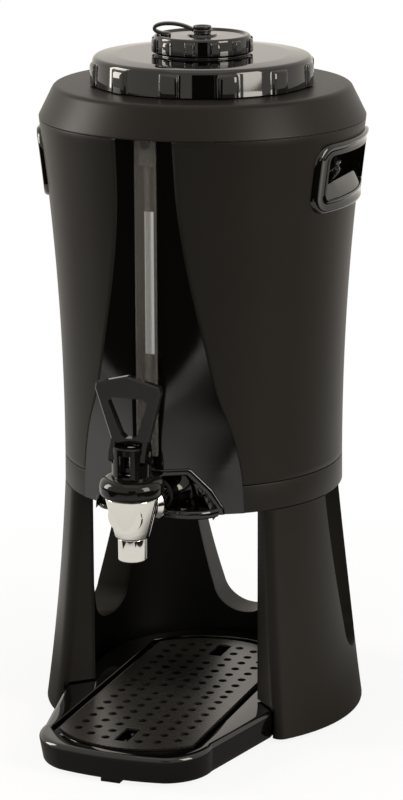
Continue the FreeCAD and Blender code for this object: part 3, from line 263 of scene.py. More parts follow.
@dataclass(frozen=True)
class Moulded(Finish):
    """Moulded plastic or rubber: fine grain, slow sheen changes and faint handling marks."""

    roughness: float
    sheen_drift: float = 0.05
    grain_scale: float = 2600.0
    grain_depth: float = 0.00002
    specular: float = 0.5
    mottle: float = 0.12
    alpha: float = 1.0
    # glow: emission of the finish's own colour, painted light wherever it is above zero
    glow: float = 0.0
    # well: paint shade inside the stand, darker and rougher nearer the axis than its wall and under
    # its top
    well: bool = False
    cloud_scale: float = 9.0
    mark_scale: float = 240.0

    def shader(self, graph: Graph) -> Signal:
        """Colour and roughness drift with two noises, and a third one is the grain.

        Args:
            graph: The material's tree.

        Returns:
            The shader.
        """
        drift = graph.noise(self.cloud_scale, 3.0)
        marks = graph.noise(self.mark_scale, 4.0, graph.stretched(1.0, 1.0, 0.25))
        tint = graph.mixed(drift, shade(self.colour, 1.0 - self.mottle),
                           shade(self.colour, 1.0 + self.mottle))
        gloss = self.roughness + (drift - 0.5) * self.sheen_drift + (marks - 0.5) * self.sheen_drift
        # Painted shade: the satin is darkened inside the stand's well, where shade falls
        if self.well:
            tint, gloss = self.painted_well_shade(graph, tint, gloss)
        grain = graph.bump(graph.noise(self.grain_scale, 2.0), 0.35, self.grain_depth)
        return graph.principled({
            "Base Color": tint, "Roughness": gloss.at_least(0.02), "Normal": grain,
            "Specular IOR Level": self.specular, "Alpha": self.alpha,
            "Emission Color": (*self.colour, 1.0), "Emission Strength": self.glow})

    @staticmethod
    def painted_well_shade(graph: Graph, tint: Signal, gloss: Signal, wall: float = 0.0872,
                 ceiling: float = 0.1655, dark: Triple = (0.0006, 0.0006, 0.0005),
                 rough: float = 0.46) -> tuple[Signal, Signal]:
        """Painted shade inside the stand: darker plastic nearer the axis than its wall, under its
        top.

        Args:
            graph: The material's tree.
            tint: Colour of the outside.
            gloss: Roughness of the outside.
            wall: Radius of the dark space in metres.
            ceiling: Its height in metres.
            dark: Colour of the painted shade there.
            rough: Roughness there.

        Returns:
            Colour and roughness with the painted shade's values mixed in.
        """
        x, y, z = graph.axes()
        reach = graph.node("ShaderNodeMath", {"operation": "SQRT"}, {0: x * x + y * y})
        # Mask of the painted shade: 1 inside the stand's wall and under its top
        inside = (wall - reach).fade(900.0) * (ceiling - z).fade(2000.0)
        return graph.mixed(inside, tint, dark), gloss + inside * (rough - gloss)


@dataclass(frozen=True)
class Metal(Finish):
    """Plated or brushed metal: fine drawn lines and a slow change of polish."""

    roughness: float
    line_scale: float = 900.0
    line_depth: float = 0.000004
    cloud_scale: float = 60.0

    def shader(self, graph: Graph) -> Signal:
        """Lines stretched round the part bend the normal and the roughness.

        Args:
            graph: The material's tree.

        Returns:
            The shader.
        """
        lines = graph.noise(self.line_scale, 3.0, graph.stretched(0.06, 0.06, 1.0))
        cloud = graph.noise(self.cloud_scale, 2.0)
        gloss = self.roughness + (lines - 0.5) * (self.roughness * 0.5)
        return graph.principled({
            "Base Color": graph.mixed(cloud, shade(self.colour, 0.97), self.colour),
            "Metallic": 1.0, "Roughness": gloss.at_least(0.02),
            "Normal": graph.bump(lines, 0.3, self.line_depth)})


@dataclass(frozen=True)
class Foam(Finish):
    """Rigid foam with open cells."""

    cell_scale: float = 700.0
    cell_depth: float = 0.0004
    roughness: float = 0.9

    def shader(self, graph: Graph) -> Signal:
        """Cells set the colour and the normal.

        Args:
            graph: The material's tree.

        Returns:
            The shader.
        """
        cells = graph.node("ShaderNodeTexVoronoi", {}, {"Vector": graph.place(),
                                                        "Scale": self.cell_scale})
        tint = graph.mixed(cells, shade(self.colour, 1.05), shade(self.colour, 0.7))
        return graph.principled({"Base Color": tint, "Roughness": self.roughness,
                                 "Normal": graph.bump(cells, 0.6, self.cell_depth)})


class Palette:
    """Every finish of the dispenser, each built once."""

    finishes = {
        # well=True paints shade on the satin inside the stand: darker and rougher there
        Slot.SATIN: Moulded("satin black plastic", (0.0085, 0.0074, 0.0057), 0.40, 0.06, 2200.0,
                            0.00003, 0.15, well=True),
        Slot.GLOSS: Moulded("gloss black plastic", (0.0016, 0.0015, 0.0011), 0.045, 0.03, 500.0,
                            0.000002),
        Slot.TAP_BLACK: Moulded("gloss black tap plastic", (0.003, 0.0028, 0.0022), 0.08, 0.04,
                                900.0, 0.000004, 0.26),
        Slot.GRATE: Moulded("satin grate plastic", (0.013, 0.0118, 0.0096), 0.27, 0.03, 1500.0,
                            0.00003, 0.85),
        Slot.CHROME: Metal("polished chrome", (0.67, 0.65, 0.615), 0.06),
        Slot.STEEL: Metal("brushed steel", (0.62, 0.62, 0.62), 0.28, 700.0, 0.00001),
        Slot.CLEAR: Moulded("smoky clear plastic", (0.24, 0.232, 0.212), 0.06, 0.03, 400.0,
                            0.000002, 0.4, 0.10, 0.16),
        # The white strip glows: painted light that makes it brighter than the lamps alone would
        Slot.WHITE: Moulded("white strip", (0.82, 0.82, 0.80), 0.35, 0.05, 1500.0, 0.00001,
                            glow=0.35),
        Slot.RUBBER: Moulded("black rubber", (0.010, 0.0098, 0.0092), 0.34, 0.10, 1800.0, 0.00003),
        Slot.SILICONE: Moulded("clouded silicone", (0.62, 0.61, 0.57), 0.45, 0.08, 1200.0),
        Slot.INNER: Moulded("plain black moulding", (0.016, 0.0155, 0.0145), 0.45, 0.08, 1600.0,
                            0.00004),
        Slot.FOAM: Foam("insulating foam", (0.70, 0.62, 0.38)),
    }
    _built: dict[Slot, bpy.types.Material] = {}

    @classmethod
    def material(cls, slot: Slot) -> bpy.types.Material:
        """The material of a slot.

        Args:
            slot: The slot.

        Returns:
            Its material.
        """
        if slot not in cls._built:
            cls._built[slot] = cls.finishes[slot].material()
        return cls._built[slot]


# Curves and surfaces


def circle_centre(start: np.ndarray, middle: np.ndarray, end: np.ndarray) -> np.ndarray:
    """Centre of the circle through three points, from the two equations of equal distance.

    Args:
        start: First point.
        middle: Second point.
        end: Third point.

    Returns:
        The centre.
    """
    sides = 2 * np.stack([middle - start, end - start])
    return np.linalg.solve(sides, np.array([middle @ middle, end @ end]) - start @ start)


def arc_through(low: tuple[float, float], middle: tuple[float, float],
                high: tuple[float, float]) -> Curve:
    """Radius against height along the circle through three (height, radius) points.

    The radius at a height is the centre's radius plus or minus the root of the circle's radius
    squared less the height's distance squared.

    Args:
        low: First point.
        middle: Second point.
        high: Third point.

    Returns:
        The curve.
    """
    centre_z, centre_r = circle_centre(*np.array([low, middle, high], float))
    reach = math.hypot(low[0] - centre_z, low[1] - centre_r)
    side = 1.0 if middle[1] > centre_r else -1.0
    return lambda z: centre_r + side * np.sqrt(np.maximum(reach ** 2 - (z - centre_z) ** 2, 0.0))


def smooth_through(places: np.ndarray, values: np.ndarray) -> Curve:
    """Smooth curve through points: between two of them the cubic that keeps both slopes.

    Args:
        places: Where the points are, rising.
        values: The curve's value at each.

    Returns:
        The curve.
    """
    slopes = np.gradient(values, places)

    def value(at: np.ndarray) -> np.ndarray:
        """Value of the cubic of the step that a place lies in.

        Args:
            at: The places.

        Returns:
            The values.
        """
        step = np.clip(np.searchsorted(places, at) - 1, 0, len(places) - 2)
        span = places[step + 1] - places[step]
        t = np.clip((at - places[step]) / span, 0.0, 1.0)
        return ((2 * t ** 3 - 3 * t ** 2 + 1) * values[step] + (t ** 3 - 2 * t ** 2 + t) * span
                * slopes[step] + (3 * t ** 2 - 2 * t ** 3) * values[step + 1]
                + (t ** 3 - t ** 2) * span * slopes[step + 1])

    return value


def rounded(corners: Corners, closed: bool = False, steps: int = 5) -> np.ndarray:
    """Line through (x, y, radius) corners, each corner replaced by an arc of its radius.

    The arc touches both sides at radius / tan(half the corner's angle) from the corner.

    Args:
        corners: The corners in order.
        closed: Whether the last one joins the first.
        steps: Steps of each arc.

    Returns:
        Points, two numbers each.
    """
    points = [np.array(corner[:2], float) for corner in corners]
    count = len(points)
    line = []
    for index, here in enumerate(points):
        radius = corners[index][2]
        if radius <= 0 or (not closed and index in (0, count - 1)):
            line.append(here[None])
            continue
        back = points[index - 1] - here
        ahead = points[(index + 1) % count] - here
        back, ahead = back / np.linalg.norm(back), ahead / np.linalg.norm(ahead)
        half = 0.5 * math.acos(float(np.clip(back @ ahead, -1.0, 1.0)))
        middle = (back + ahead) / np.linalg.norm(back + ahead)
        centre = here + middle * radius / math.sin(half)
        start = here + back * radius / math.tan(half) - centre
        end = here + ahead * radius / math.tan(half) - centre
        first = math.atan2(start[1], start[0])
        turn = (math.atan2(end[1], end[0]) - first + math.pi) % (2 * math.pi) - math.pi
        angles = first + turn * np.linspace(0.0, 1.0, steps + 1)
        line.append(centre + radius * np.stack([np.cos(angles), np.sin(angles)], -1))
    return np.concatenate(line)


def rectangle(half: float, low: float, high: float, radii: Four) -> Corners:
    """Corners of a rectangle, from the lower left one round.

    Args:
        half: Half its width.
        low: Its lower edge.
        high: Its upper edge.
        radii: Rounding of each corner.

    Returns:
        Four corners for a rounded line.
    """
    places = ((-half, low), (half, low), (half, high), (-half, high))
    return tuple((*place, radius) for place, radius in zip(places, radii))


def even(line: np.ndarray, count: int) -> np.ndarray:
    """Points at equal distances along a line.

    Args:
        line: Points of any number of columns.
        count: How many points to give.

    Returns:
        The new points.
    """
    steps = np.linalg.norm(np.diff(line, axis=0), axis=1)
    run = np.concatenate([[0.0], np.cumsum(steps)])
    at = np.linspace(0.0, run[-1], count)
    return np.stack([np.interp(at, run, column) for column in line.T], -1)


def unit(rows: np.ndarray) -> np.ndarray:
    """Rows scaled to length 1."""
    return rows / np.linalg.norm(rows, axis=1, keepdims=True)


def at_height(plan: np.ndarray, z: float | np.ndarray) -> np.ndarray:
    """Points of a plan lifted to a height, or each row of them to its own height."""
    z = np.reshape(z, np.shape(z) + (1,) * (plan.ndim - np.ndim(z)))
    return np.concatenate([plan, np.broadcast_to(z, plan.shape[:-1] + (1,))], -1)


def around(angle: np.ndarray, radius: np.ndarray | float, height: np.ndarray) -> np.ndarray:
    """Points x = r sin a, y = -r cos a at a height; the three are spread to one shape."""
    return np.stack(np.broadcast_arrays(radius * np.sin(angle), -radius * np.cos(angle), height),
                    -1)


def spun(profile: np.ndarray, angles: np.ndarray, swell: np.ndarray | float = 0.0) -> np.ndarray:
    """Surface of revolution: each (radius, height) row at each angle, the radius plus a swell."""
    return around(angles[:, None], profile[None, :, 0] + swell, profile[None, :, 1])


def full_turn(count: int) -> np.ndarray:
    """Even angles round a full circle."""
    return np.linspace(0.0, 2 * math.pi, count, endpoint=False)


def radial(points: np.ndarray) -> np.ndarray:
    """Level direction away from the axis at each point."""
    return points * np.array([1.0, 1.0, 0.0])


def inwards(points: np.ndarray) -> np.ndarray:
    """Level direction to the axis at each point."""
    return -radial(points)


def towards(x: float, y: float, z: float) -> Curve:
    """A facing that is one direction everywhere."""
    return lambda points: 0 * points + np.array([x, y, z])


def above(height: float) -> Curve:
    """A facing that looks up over a height and counts nothing below it."""
    return lambda points: np.where(points[..., 2:] > height, UP, 0.0)


def beyond(radius: float) -> Curve:
    """A facing that looks away from the axis outside a radius and counts nothing inside it."""
    return lambda points: np.where(np.linalg.norm(points[..., :2], axis=-1, keepdims=True) > radius,
                                   radial(points), 0.0)


class Surface:
    """Grids of points in millimetres that become one welded mesh."""

    def __init__(self, name: str) -> None:
        """Start without any points.

        Args:
            name: Name of the mesh and its object.
        """
        self.name = name
        self.points: list[np.ndarray] = []
        self.quads: list[np.ndarray] = []
        self.caps: list[np.ndarray] = []
        self.count = 0

    def _add(self, points: np.ndarray) -> np.ndarray:
        """Keep points.

        Args:
            points: A grid or a row of points.

        Returns:
            Their numbers, in the same arrangement.
        """
        flat = points.reshape(-1, 3)
        numbers = self.count + np.arange(len(flat))
        self.points.append(flat)
        self.count += len(flat)
        return numbers.reshape(points.shape[:-1])

    def grid(self, points: np.ndarray, wrap_rows: bool = False, wrap_columns: bool = False,
             facing: Curve | None = None, keep: np.ndarray | None = None) -> "Surface":
        """Add a grid of quads.

        Args:
            points: Rows by columns by three.
            wrap_rows: Whether the last row joins the first.
            wrap_columns: Whether the last column joins the first.
            facing: Direction that the faces look in, from their middles; without it, as given.
            keep: Which quads stay.

        Returns:
            The surface itself.
        """
        numbers = self._add(points)
        if wrap_rows:
            numbers = np.concatenate([numbers, numbers[:1]])
            points = np.concatenate([points, points[:1]])
        if wrap_columns:
            numbers = np.concatenate([numbers, numbers[:, :1]], 1)
            points = np.concatenate([points, points[:, :1]], 1)
        quads = np.stack([numbers[:-1, :-1], numbers[1:, :-1], numbers[1:, 1:],
                          numbers[:-1, 1:]], -1)
        if facing is not None:
            one, two = points[1:, 1:] - points[:-1, :-1], points[:-1, 1:] - points[1:, :-1]
            middle = (points[1:, 1:] + points[:-1, :-1]) / 2
            if np.sum(np.cross(one, two) * facing(middle)) < 0:
                quads = quads[..., ::-1]
        self.quads.append(quads.reshape(-1, 4) if keep is None else quads[keep])
        return self

    def cap(self, loop: np.ndarray, facing: np.ndarray) -> "Surface":
        """Close a loop of points with one flat face that looks in a direction.

        Args:
            loop: The points in order.
            facing: The direction.

        Returns:
            The surface itself.
        """
        numbers = self._add(loop)
        area = np.cross(loop, np.roll(loop, -1, 0)).sum(0)
        self.caps.append(numbers if area @ facing > 0 else numbers[::-1])
        return self

    def tube(self, rings: np.ndarray) -> "Surface":
        """Add closed rings along a path, both ends capped.

        Args:
            rings: Rings by points by three.

        Returns:
            The surface itself.
        """
        middles = rings.mean(1)
        self.grid(rings, wrap_columns=True, facing=lambda points: points - middles[:-1, None])
        return self.cap(rings[0], middles[0] - middles[1]).cap(rings[-1], middles[-1] - middles[-2])

    def linked(self, points: np.ndarray, faces: list[list[int]]) -> bpy.types.Object:
        """Make the mesh and its object, in the scene.

        Args:
            points: Its points in metres.
            faces: Its faces.

        Returns:
            The new object.
        """
        mesh = bpy.data.meshes.new(self.name)
        mesh.from_pydata(points.tolist(), [], faces)
        mesh.validate()
        piece = bpy.data.objects.new(self.name, mesh)
        bpy.context.scene.collection.objects.link(piece)
        return piece

    def made(self, body: str, slot: Slot, nodes: tuple[str, ...] = (), sharp: float = 38.0,
             wall: float = 0.0, weld: float = 0.002) -> bpy.types.Object:
        """Weld the grids, make the mesh and dress it.

        Points that fall in the same cell of a fine lattice are one point, and a quad that loses
        a corner that way is a triangle.

        Args:
            body: The body that the piece rides on; empty for a blended piece.
            slot: Its material slot.
            nodes: The CAD nodes that it stands for.
            sharp: Edges that bend more than this, in degrees, stay sharp.
            wall: Wall thickness in millimetres that goes inwards from an open sheet.
            weld: Width of the lattice's cells in millimetres.

        Returns:
            The new object.
        """
        points = np.concatenate(self.points)
        cells = np.round(points / weld + 0.317).astype(np.int64)
        _, first, number = np.unique(cells, axis=0, return_index=True, return_inverse=True)
        number = number.reshape(-1)
        faces = number[np.concatenate(self.quads)]
        fresh = faces != np.roll(faces, -1, 1)
        corners = fresh.sum(1)
        crossed = (faces[:, 0] == faces[:, 2]) | (faces[:, 1] == faces[:, 3])
        threes = (corners == 3) & ~crossed
        caps = [number[cap] for cap in self.caps]
        loops = [cap[cap != np.roll(cap, -1)].tolist() for cap in caps]
        piece = self.linked(points[first] * MM, [
            *faces[(corners == 4) & ~crossed].tolist(),
            *faces[threes][fresh[threes]].reshape(-1, 3).tolist(),
            *[loop for loop in loops if len(loop) > 2]])
        piece.data.shade_smooth()
        piece.data.set_sharp_from_angle(angle=math.radians(sharp))
        piece.data.materials.append(Palette.material(slot))
        if wall:
            skin = piece.modifiers.new("wall", "SOLIDIFY")
            skin.thickness = wall * MM
            skin.offset = -1.0
        if body:
            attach(piece, body)
        if nodes:
            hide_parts(*nodes)
        log.info("%s: %d faces", self.name, len(piece.data.polygons))
        return piece


# Studio


@dataclass
class Studio:
    """Pale table, soft lamps, dark cards and the camera of the photograph, in metres."""

    camera_place: Triple = (0.7264, -1.9266, 0.7657)
    camera_azimuth: float = 20.7
    camera_drop: float = 14.83
    camera_roll: float = 0.0039
    lens: float = 135.5
    table_radius: float = 1.15
    table_shades: tuple[Triple, Triple] = ((0.80, 0.80, 0.795), (0.84, 0.84, 0.835))
    table_hue: Triple = (0.98, 0.955, 0.91)
    table_left: float = 0.98
    table_right: float = 0.6
    table_skew: tuple[float, float] = (0.194, 0.438)
    table_bend: tuple[float, float] = (0.6, 12.0)
    table_front: float = 0.92
    table_corner: Triple = (0.42, 0.45, 6.0)
    table_edge: float = 30.0
    table_dark: float = 0.015
    # Levels by distance from the axis; the low ones near it are a painted shadow of the dispenser
    table_levels_and_painted_shadow: tuple[tuple[float, float], ...] = ((0.20, 0.10), (0.25, 0.25), (0.29, 0.9),
                                                     (0.40, 1.0), (0.75, 1.0), (0.98, 0.55))
    shadow_reach: float = 0.5
    shadow_share: float = 0.16
    card_distance: float = 2.7
    cards: tuple[tuple, ...] = (("low card", (-100.0, 100.0), (-2.0, 0.02), 0.015),
                                ("camera card", (10.0, 33.0), (0.0, 1.1), 0.02))
    lamps: tuple[tuple, ...] = (("box right", (1.6, -0.5, 0.9), (0.7, 1.3), 30.0),
                                ("box left", (-1.6, -0.3, 0.8), (0.6, 1.2), 30.0),
                                ("box top", (0.1, -0.4, 1.9), (1.2, 1.0), 2.0))
    lamp_aim: Triple = (0.0, 0.0, 0.22)
    ambient: float = 0.34
    warm: Triple = (1.0, 0.935, 0.85)

    @staticmethod
    def staged(name: str, points: np.ndarray, paint: bpy.types.Material, closed: bool = False,
               facing: Curve | None = None) -> bpy.types.Object:
        """Make a sheet of the surroundings.

        Args:
            name: Its name.
            points: Rows by columns by three, in metres.
            paint: Its material.
            closed: Whether the last row joins the first.
            facing: Direction that it faces.

        Returns:
            The new object.
        """
        sheet = Surface(name).grid(points, wrap_rows=closed, facing=facing)
        made = sheet.linked(sheet.points[0], sheet.quads[0].tolist())
        made.data.materials.append(paint)
        return made

    @staticmethod
    def rays(graph: Graph) -> list[Signal]:
        """Signals that are 1 on camera, glossy and transmission rays."""
        return [graph.node("ShaderNodeLightPath", output=name) for name in (
            "Is Camera Ray", "Is Glossy Ray", "Is Transmission Ray")]

    def lit(self, graph: Graph, away: Signal) -> Signal:
        """Brightness of the table to reflections: its levels by distance inside four edges.

        The left and front edges are straight. The right edge is straight beside the dispenser,
        steps in before it and runs outwards again from there, and a steep line cuts the front
        left corner off. The low levels near the axis are a painted shadow of the dispenser.

        Args:
            graph: The table's tree.
            away: Distance from the axis.

        Returns:
            The brightness.
        """
        across, along, _ = graph.axes()
        near = ((along + self.table_bend[0]) * self.table_bend[1]).at_most(self.table_right)
        right = (self.table_skew[0] - along * self.table_skew[1]).at_least(near)
        cut, left, steep = self.table_corner
        edges = (right - across, across + self.table_left, along + self.table_front,
                 along + cut + (across + left).at_least(0.0) * steep)
        inside = edges[0].fade(self.table_edge)
        for edge in edges[1:]:
            inside = inside * edge.fade(self.table_edge)
        # Low levels near the axis paint the dispenser's shadow into reflections of the table
        return graph.ramp(away, self.table_levels_and_painted_shadow) * inside + self.table_dark

    def table(self) -> None:
        """Round white table: white to the camera, with a soft shadow, and lit to reflections."""
        paint = bpy.data.materials.new("white table")
        graph = Graph(paint)
        tint = graph.mixed(graph.noise(3.0), *self.table_shades)
        body = graph.principled({"Base Color": tint, "Roughness": 0.6, "Specular IOR Level": 0.2})
        camera, gloss, through = self.rays(graph)
        away = graph.node("ShaderNodeVectorMath", {"operation": "LENGTH"}, {0: graph.place()},
                          output="Value")
        direct = camera.at_least(through)
        level = direct + self.lit(graph, away) * (1.0 - direct)
        hue = graph.mixed(direct, self.table_hue, (1.0, 1.0, 1.0))
        glow = graph.node("ShaderNodeEmission", {}, {"Color": hue, "Strength": level})
        clear = (1.0 - self.shadow_share * (1.0 - away * (1.0 / self.shadow_reach))).at_most(1.0)
        share = camera.at_least(gloss).at_least(through) * clear
        graph.end(graph.node("ShaderNodeMixShader", {}, {0: share, 1: body, 2: glow}))
        rows = np.array([[0.0, 0.0], [0.3, 0.0], [self.table_radius, 0.0]])
        self.staged("table", spun(rows, full_turn(96)), paint, True, towards(0.0, 0.0, 1.0))

    def world(self) -> None:
        """White surroundings to the camera and in reflections, a plain level for the light."""
        world = bpy.data.worlds.new("studio")
        bpy.context.scene.world = world
        graph = Graph(world)
        camera, gloss, through = self.rays(graph)
        seen = camera.at_least(gloss).at_least(through)
        level = self.ambient + seen * (1.0 - self.ambient)
        tint = graph.mixed(camera, self.warm, (1.0, 1.0, 1.0))
        graph.end(graph.node("ShaderNodeBackground", {}, {"Color": tint, "Strength": level}),
                  "ShaderNodeOutputWorld")

    def card(self, name: str, turn: tuple[float, float], heights: tuple[float, float],
             level: float) -> None:
        """Curved dark card that only reflections see.

        Args:
            name: Its name.
            turn: First and last azimuth in degrees.
            heights: Lower and upper edge.
            level: Its grey.
        """
        paint = bpy.data.materials.new(name)
        graph = Graph(paint)
        graph.end(graph.node("ShaderNodeEmission", {}, {
            "Color": (level, level, level * 0.92, 1.0), "Strength": 1.0}))
        rows = np.array([[self.card_distance, height] for height in heights])
        card = self.staged(name, spun(rows, np.radians(np.linspace(*turn, 24))), paint)
        card.visible_camera = False
        card.visible_diffuse = False
        card.visible_shadow = False

    def lamp(self, name: str, place: Triple, size: tuple[float, float], watts: float) -> None:
        """Soft box that looks at the dispenser.

        Args:
            name: Its name.
            place: Its middle.
            size: Width and height.
            watts: Its power.
        """
        light = bpy.data.lights.new(name, "AREA")
        light.shape = "RECTANGLE"
        light.size, light.size_y = size
        light.energy = watts
        light.color = self.warm
        lamp = bpy.data.objects.new(name, light)
        bpy.context.scene.collection.objects.link(lamp)
        lamp.location = place
        ahead = Vector(self.lamp_aim) - Vector(place)
        lamp.rotation_euler = ahead.to_track_quat("-Z", "Y").to_euler()

    def camera(self) -> None:
        """The photograph's camera: turned round the object, tipped down and rolled a little."""
        data = bpy.data.cameras.new("camera")
        data.lens = self.lens
        data.sensor_width = 36.0
        data.clip_end = 50.0
        camera = bpy.data.objects.new("camera", data)
        bpy.context.scene.collection.objects.link(camera)
        turn, drop = math.radians(self.camera_azimuth), math.radians(self.camera_drop)
        back = Vector((math.sin(turn) * math.cos(drop), -math.cos(turn) * math.cos(drop),
                       math.sin(drop)))
        right = Vector((math.cos(turn), math.sin(turn), 0.0))
        up = back.cross(right)
        c, s = math.cos(self.camera_roll), math.sin(self.camera_roll)
        right, up = right * c - up * s, up * c + right * s
        camera.matrix_world = Matrix.Translation(Vector(self.camera_place)) @ Matrix(
            (right, up, back)).transposed().to_4x4()
        bpy.context.scene.camera = camera

    def build(self) -> None:
        """Set up everything round the object."""
        bpy.context.scene.view_settings.view_transform = "Standard"
        self.table()
        self.world()
        for card in self.cards:
            self.card(*card)
        for lamp in self.lamps:
            self.lamp(*lamp)
        self.camera()


# Stand


def sideways(x: float, y: float) -> Curve:
    """A level facing that is mirrored on the left half."""
    return lambda points: np.array([x, y, 0.0]) * np.where(points[..., :1] < 0, MIRROR, 1.0)


@dataclass
class Stand:
    """Flared pedestal with a front mouth, two side windows and a back window.

    A window is given by its bottom and its half widths at the hips, in the middle and on top.
    """

    foot: float = 3.0
    top: float = 165.2
    skirt: float = 113.87
    waist: float = 98.4
    bow: float = 1.85
    well: float = 84.5
    mouth: float = math.radians(46.5)
    edge: float = 7.0
    slot_top: float = 24.2
    slot_half: float = 78.4
    side_y: float = 19.0
    side: Four = (44.5, 20.0, 27.5, 37.0)
    back: Four = (35.5, 22.8, 31.5, 41.0)
    hip_height: float = 19.0
    middle_height: float = 57.0
    columns: int = 16
    sole_rim: float = 2.2
    sole_step: float = 2.7
    outer: Curve = field(init=False)

    def __post_init__(self) -> None:
        """Work out the flare."""
        middle = (self.skirt + self.waist) / 2 - self.bow
        self.outer = arc_through((self.foot, self.skirt), ((self.foot + self.top) / 2, middle),
                                 (self.top, self.waist))

    def half_width(self, window: Four, z: np.ndarray) -> np.ndarray:
        """Half width of a window at a height: a circle's end below, a bent flank above.

        Args:
            window: The window's sizes.
            z: Heights.

        Returns:
            Half widths, 0 below the window.
        """
        bottom, hip, middle, top = window
        reach = (hip ** 2 + self.hip_height ** 2) / (2 * self.hip_height)
        end = np.sqrt(np.maximum(reach ** 2 - (z - bottom - reach) ** 2, 0.0))
        flank = arc_through((bottom + self.hip_height, hip), (bottom + self.middle_height, middle),
                            (self.top + 1.0, top))(z)
        wide = np.where(z < bottom + self.hip_height, end, flank)
        return np.where(z <= bottom, 0.0, wide)

    def rows(self) -> np.ndarray:
        """Heights of the rows, close together where the windows' round ends turn.

        Returns:
            Rising heights.
        """
        bend = self.hip_height * (1 - np.cos(np.linspace(0.0, math.pi / 2, 15)))
        z = np.unique(np.concatenate([
            np.linspace(self.foot, self.slot_top, 7), np.linspace(self.slot_top, 33.0, 4),
            self.back[0] + bend, self.side[0] + bend,
            np.linspace(self.side[0] + self.hip_height, self.top, 26)]))
        fixed = np.isin(z, [self.back[0], self.side[0], self.slot_top, self.top])
        return z[(np.diff(z, prepend=-1.0) > 0.25) | fixed]

    def inner(self, angle: np.ndarray, z: np.ndarray) -> np.ndarray:
        """Radius of the inner wall: the round well, and the tray's passage low at the front.

        Args:
            angle: Angles.
            z: Heights.

        Returns:
            Radii.
        """
        passage = self.slot_half / np.maximum(np.sin(angle), 0.2)
        low = (z < self.slot_top) & (angle < math.pi / 2)
        return np.where(low, np.maximum(passage, self.well), self.well)

    def beside_slot(self, points: np.ndarray) -> np.ndarray:
        """Points moved out to the wall of the tray's passage where they are low.

        Args:
            points: Points of the right half.

        Returns:
            The same points, moved.
        """
        low = (points[..., 2] < self.slot_top) & (points[..., 0] < self.slot_half)
        points[..., 0] = np.where(low, self.slot_half, points[..., 0])
        return points

    def edges(self, radius: np.ndarray | float, z: np.ndarray) -> tuple[np.ndarray, ...]:
        """Angles of the side window's two edges and of the back window's edge at a radius.

        Args:
            radius: Radius of the wall.
            z: Heights.

        Returns:
            The three angles at each height.
        """
        side, back = self.half_width(self.side, z), self.half_width(self.back, z)
        front = np.arccos(-(self.side_y - side) / radius)
        rear = np.arccos(-(self.side_y + side) / radius)
        return front, rear, math.pi - np.arcsin(back / radius)

    def strip(self, start: np.ndarray | float, end: np.ndarray, z: np.ndarray,
              inside: bool = False) -> np.ndarray:
        """Part of the outer or inner wall between two angles on each row.

        Args:
            start: First angle of each row.
            end: Last angle of each row.
            z: Heights of the rows.
            inside: Whether it lies on the inner wall.

        Returns:
            Its grid.
        """
        start = np.broadcast_to(start, z.shape)[:, None]
        angle = start + np.linspace(0.0, 1.0, self.columns)[None] * (end[:, None] - start)
        height = z[:, None]
        return around(angle, self.inner(angle, height) if inside else self.outer(height), height)

    def build(self) -> None:
        """Make the pedestal as one closed piece.

        The right half's walls run from the mouth to the back. The bead is a quarter turn round a
        centre that lies one edge radius inside both the outer wall and the mouth's plane. A
        jamb joins the outer and the inner edge of an opening.
        """
        z = self.rows()
        inner_z = np.concatenate([z[z < self.slot_top], [self.slot_top - 0.001],
                                  z[z >= self.slot_top]])
        front, rear, back = self.edges(self.outer(z), z)
        reach = self.outer(z) - self.edge
        tilt = np.arcsin(self.edge / reach)
        swing = np.linspace(-math.pi / 2, 0.0, 8)[None]
        swing = self.mouth + swing + tilt[:, None] * (swing / (math.pi / 2) + 1)
        bead = self.beside_slot(around((self.mouth + tilt)[:, None], reach[:, None], z[:, None])
                                + around(swing, self.edge, 0.0))
        leg, rear_leg = self.strip(self.mouth + tilt, front, z), self.strip(rear, back, z)
        front, rear, back = self.edges(self.well, inner_z)
        leg_in = self.strip(self.mouth, front, inner_z, True)
        rear_in = self.strip(rear, back, inner_z, True)
        reach = np.sqrt((self.outer(inner_z) - self.edge) ** 2 - self.edge ** 2)[:, None]
        face = self.beside_slot(around(self.mouth, reach, inner_z[:, None]))
        jamb = np.concatenate([leg_in[:, :1], face], 1)

        grids = [(bead, radial), (leg, radial), (rear_leg, radial),
                 (leg_in, inwards), (rear_in, inwards),
                 (jamb, sideways(-math.cos(self.mouth), -math.sin(self.mouth)))]
        match = np.searchsorted(inner_z, z)
        for window, outer, inner, facing in (
                (self.side, leg[:, -1], leg_in[match, -1], sideways(0.0, 1.0)),
                (self.side, rear_leg[:, 0], rear_in[match, 0], sideways(0.0, -1.0)),
                (self.back, rear_leg[:, -1], rear_in[match, -1], sideways(-1.0, 0.0))):
            there = z >= window[0]
            grids.append((np.stack([outer[there], inner[there]], 1), facing))
        surface = Surface("stand_body")
        for points, facing in grids:
            for side in (1.0, MIRROR):
                surface.grid(points * side, facing=facing)
        for side in (1.0, MIRROR):
            surface.cap(np.concatenate([jamb[-1], bead[-1], leg[-1], leg_in[-1][::-1]]) * side, UP)
            surface.cap(np.concatenate([rear_leg[-1], rear_in[-1][::-1]]) * side, UP)
        outer = np.concatenate([jamb[0], bead[0], leg[0], rear_leg[0]])
        inner = np.concatenate([leg_in[0], rear_in[0]])
        loop = np.concatenate([outer, (outer * MIRROR)[::-1], inner * MIRROR, inner[::-1]])
        self.sole(surface, loop[np.linalg.norm(loop - np.roll(loop, -1, 0), axis=1) > 0.01])
        surface.made("stand", Slot.SATIN, ("stand_skirt",))

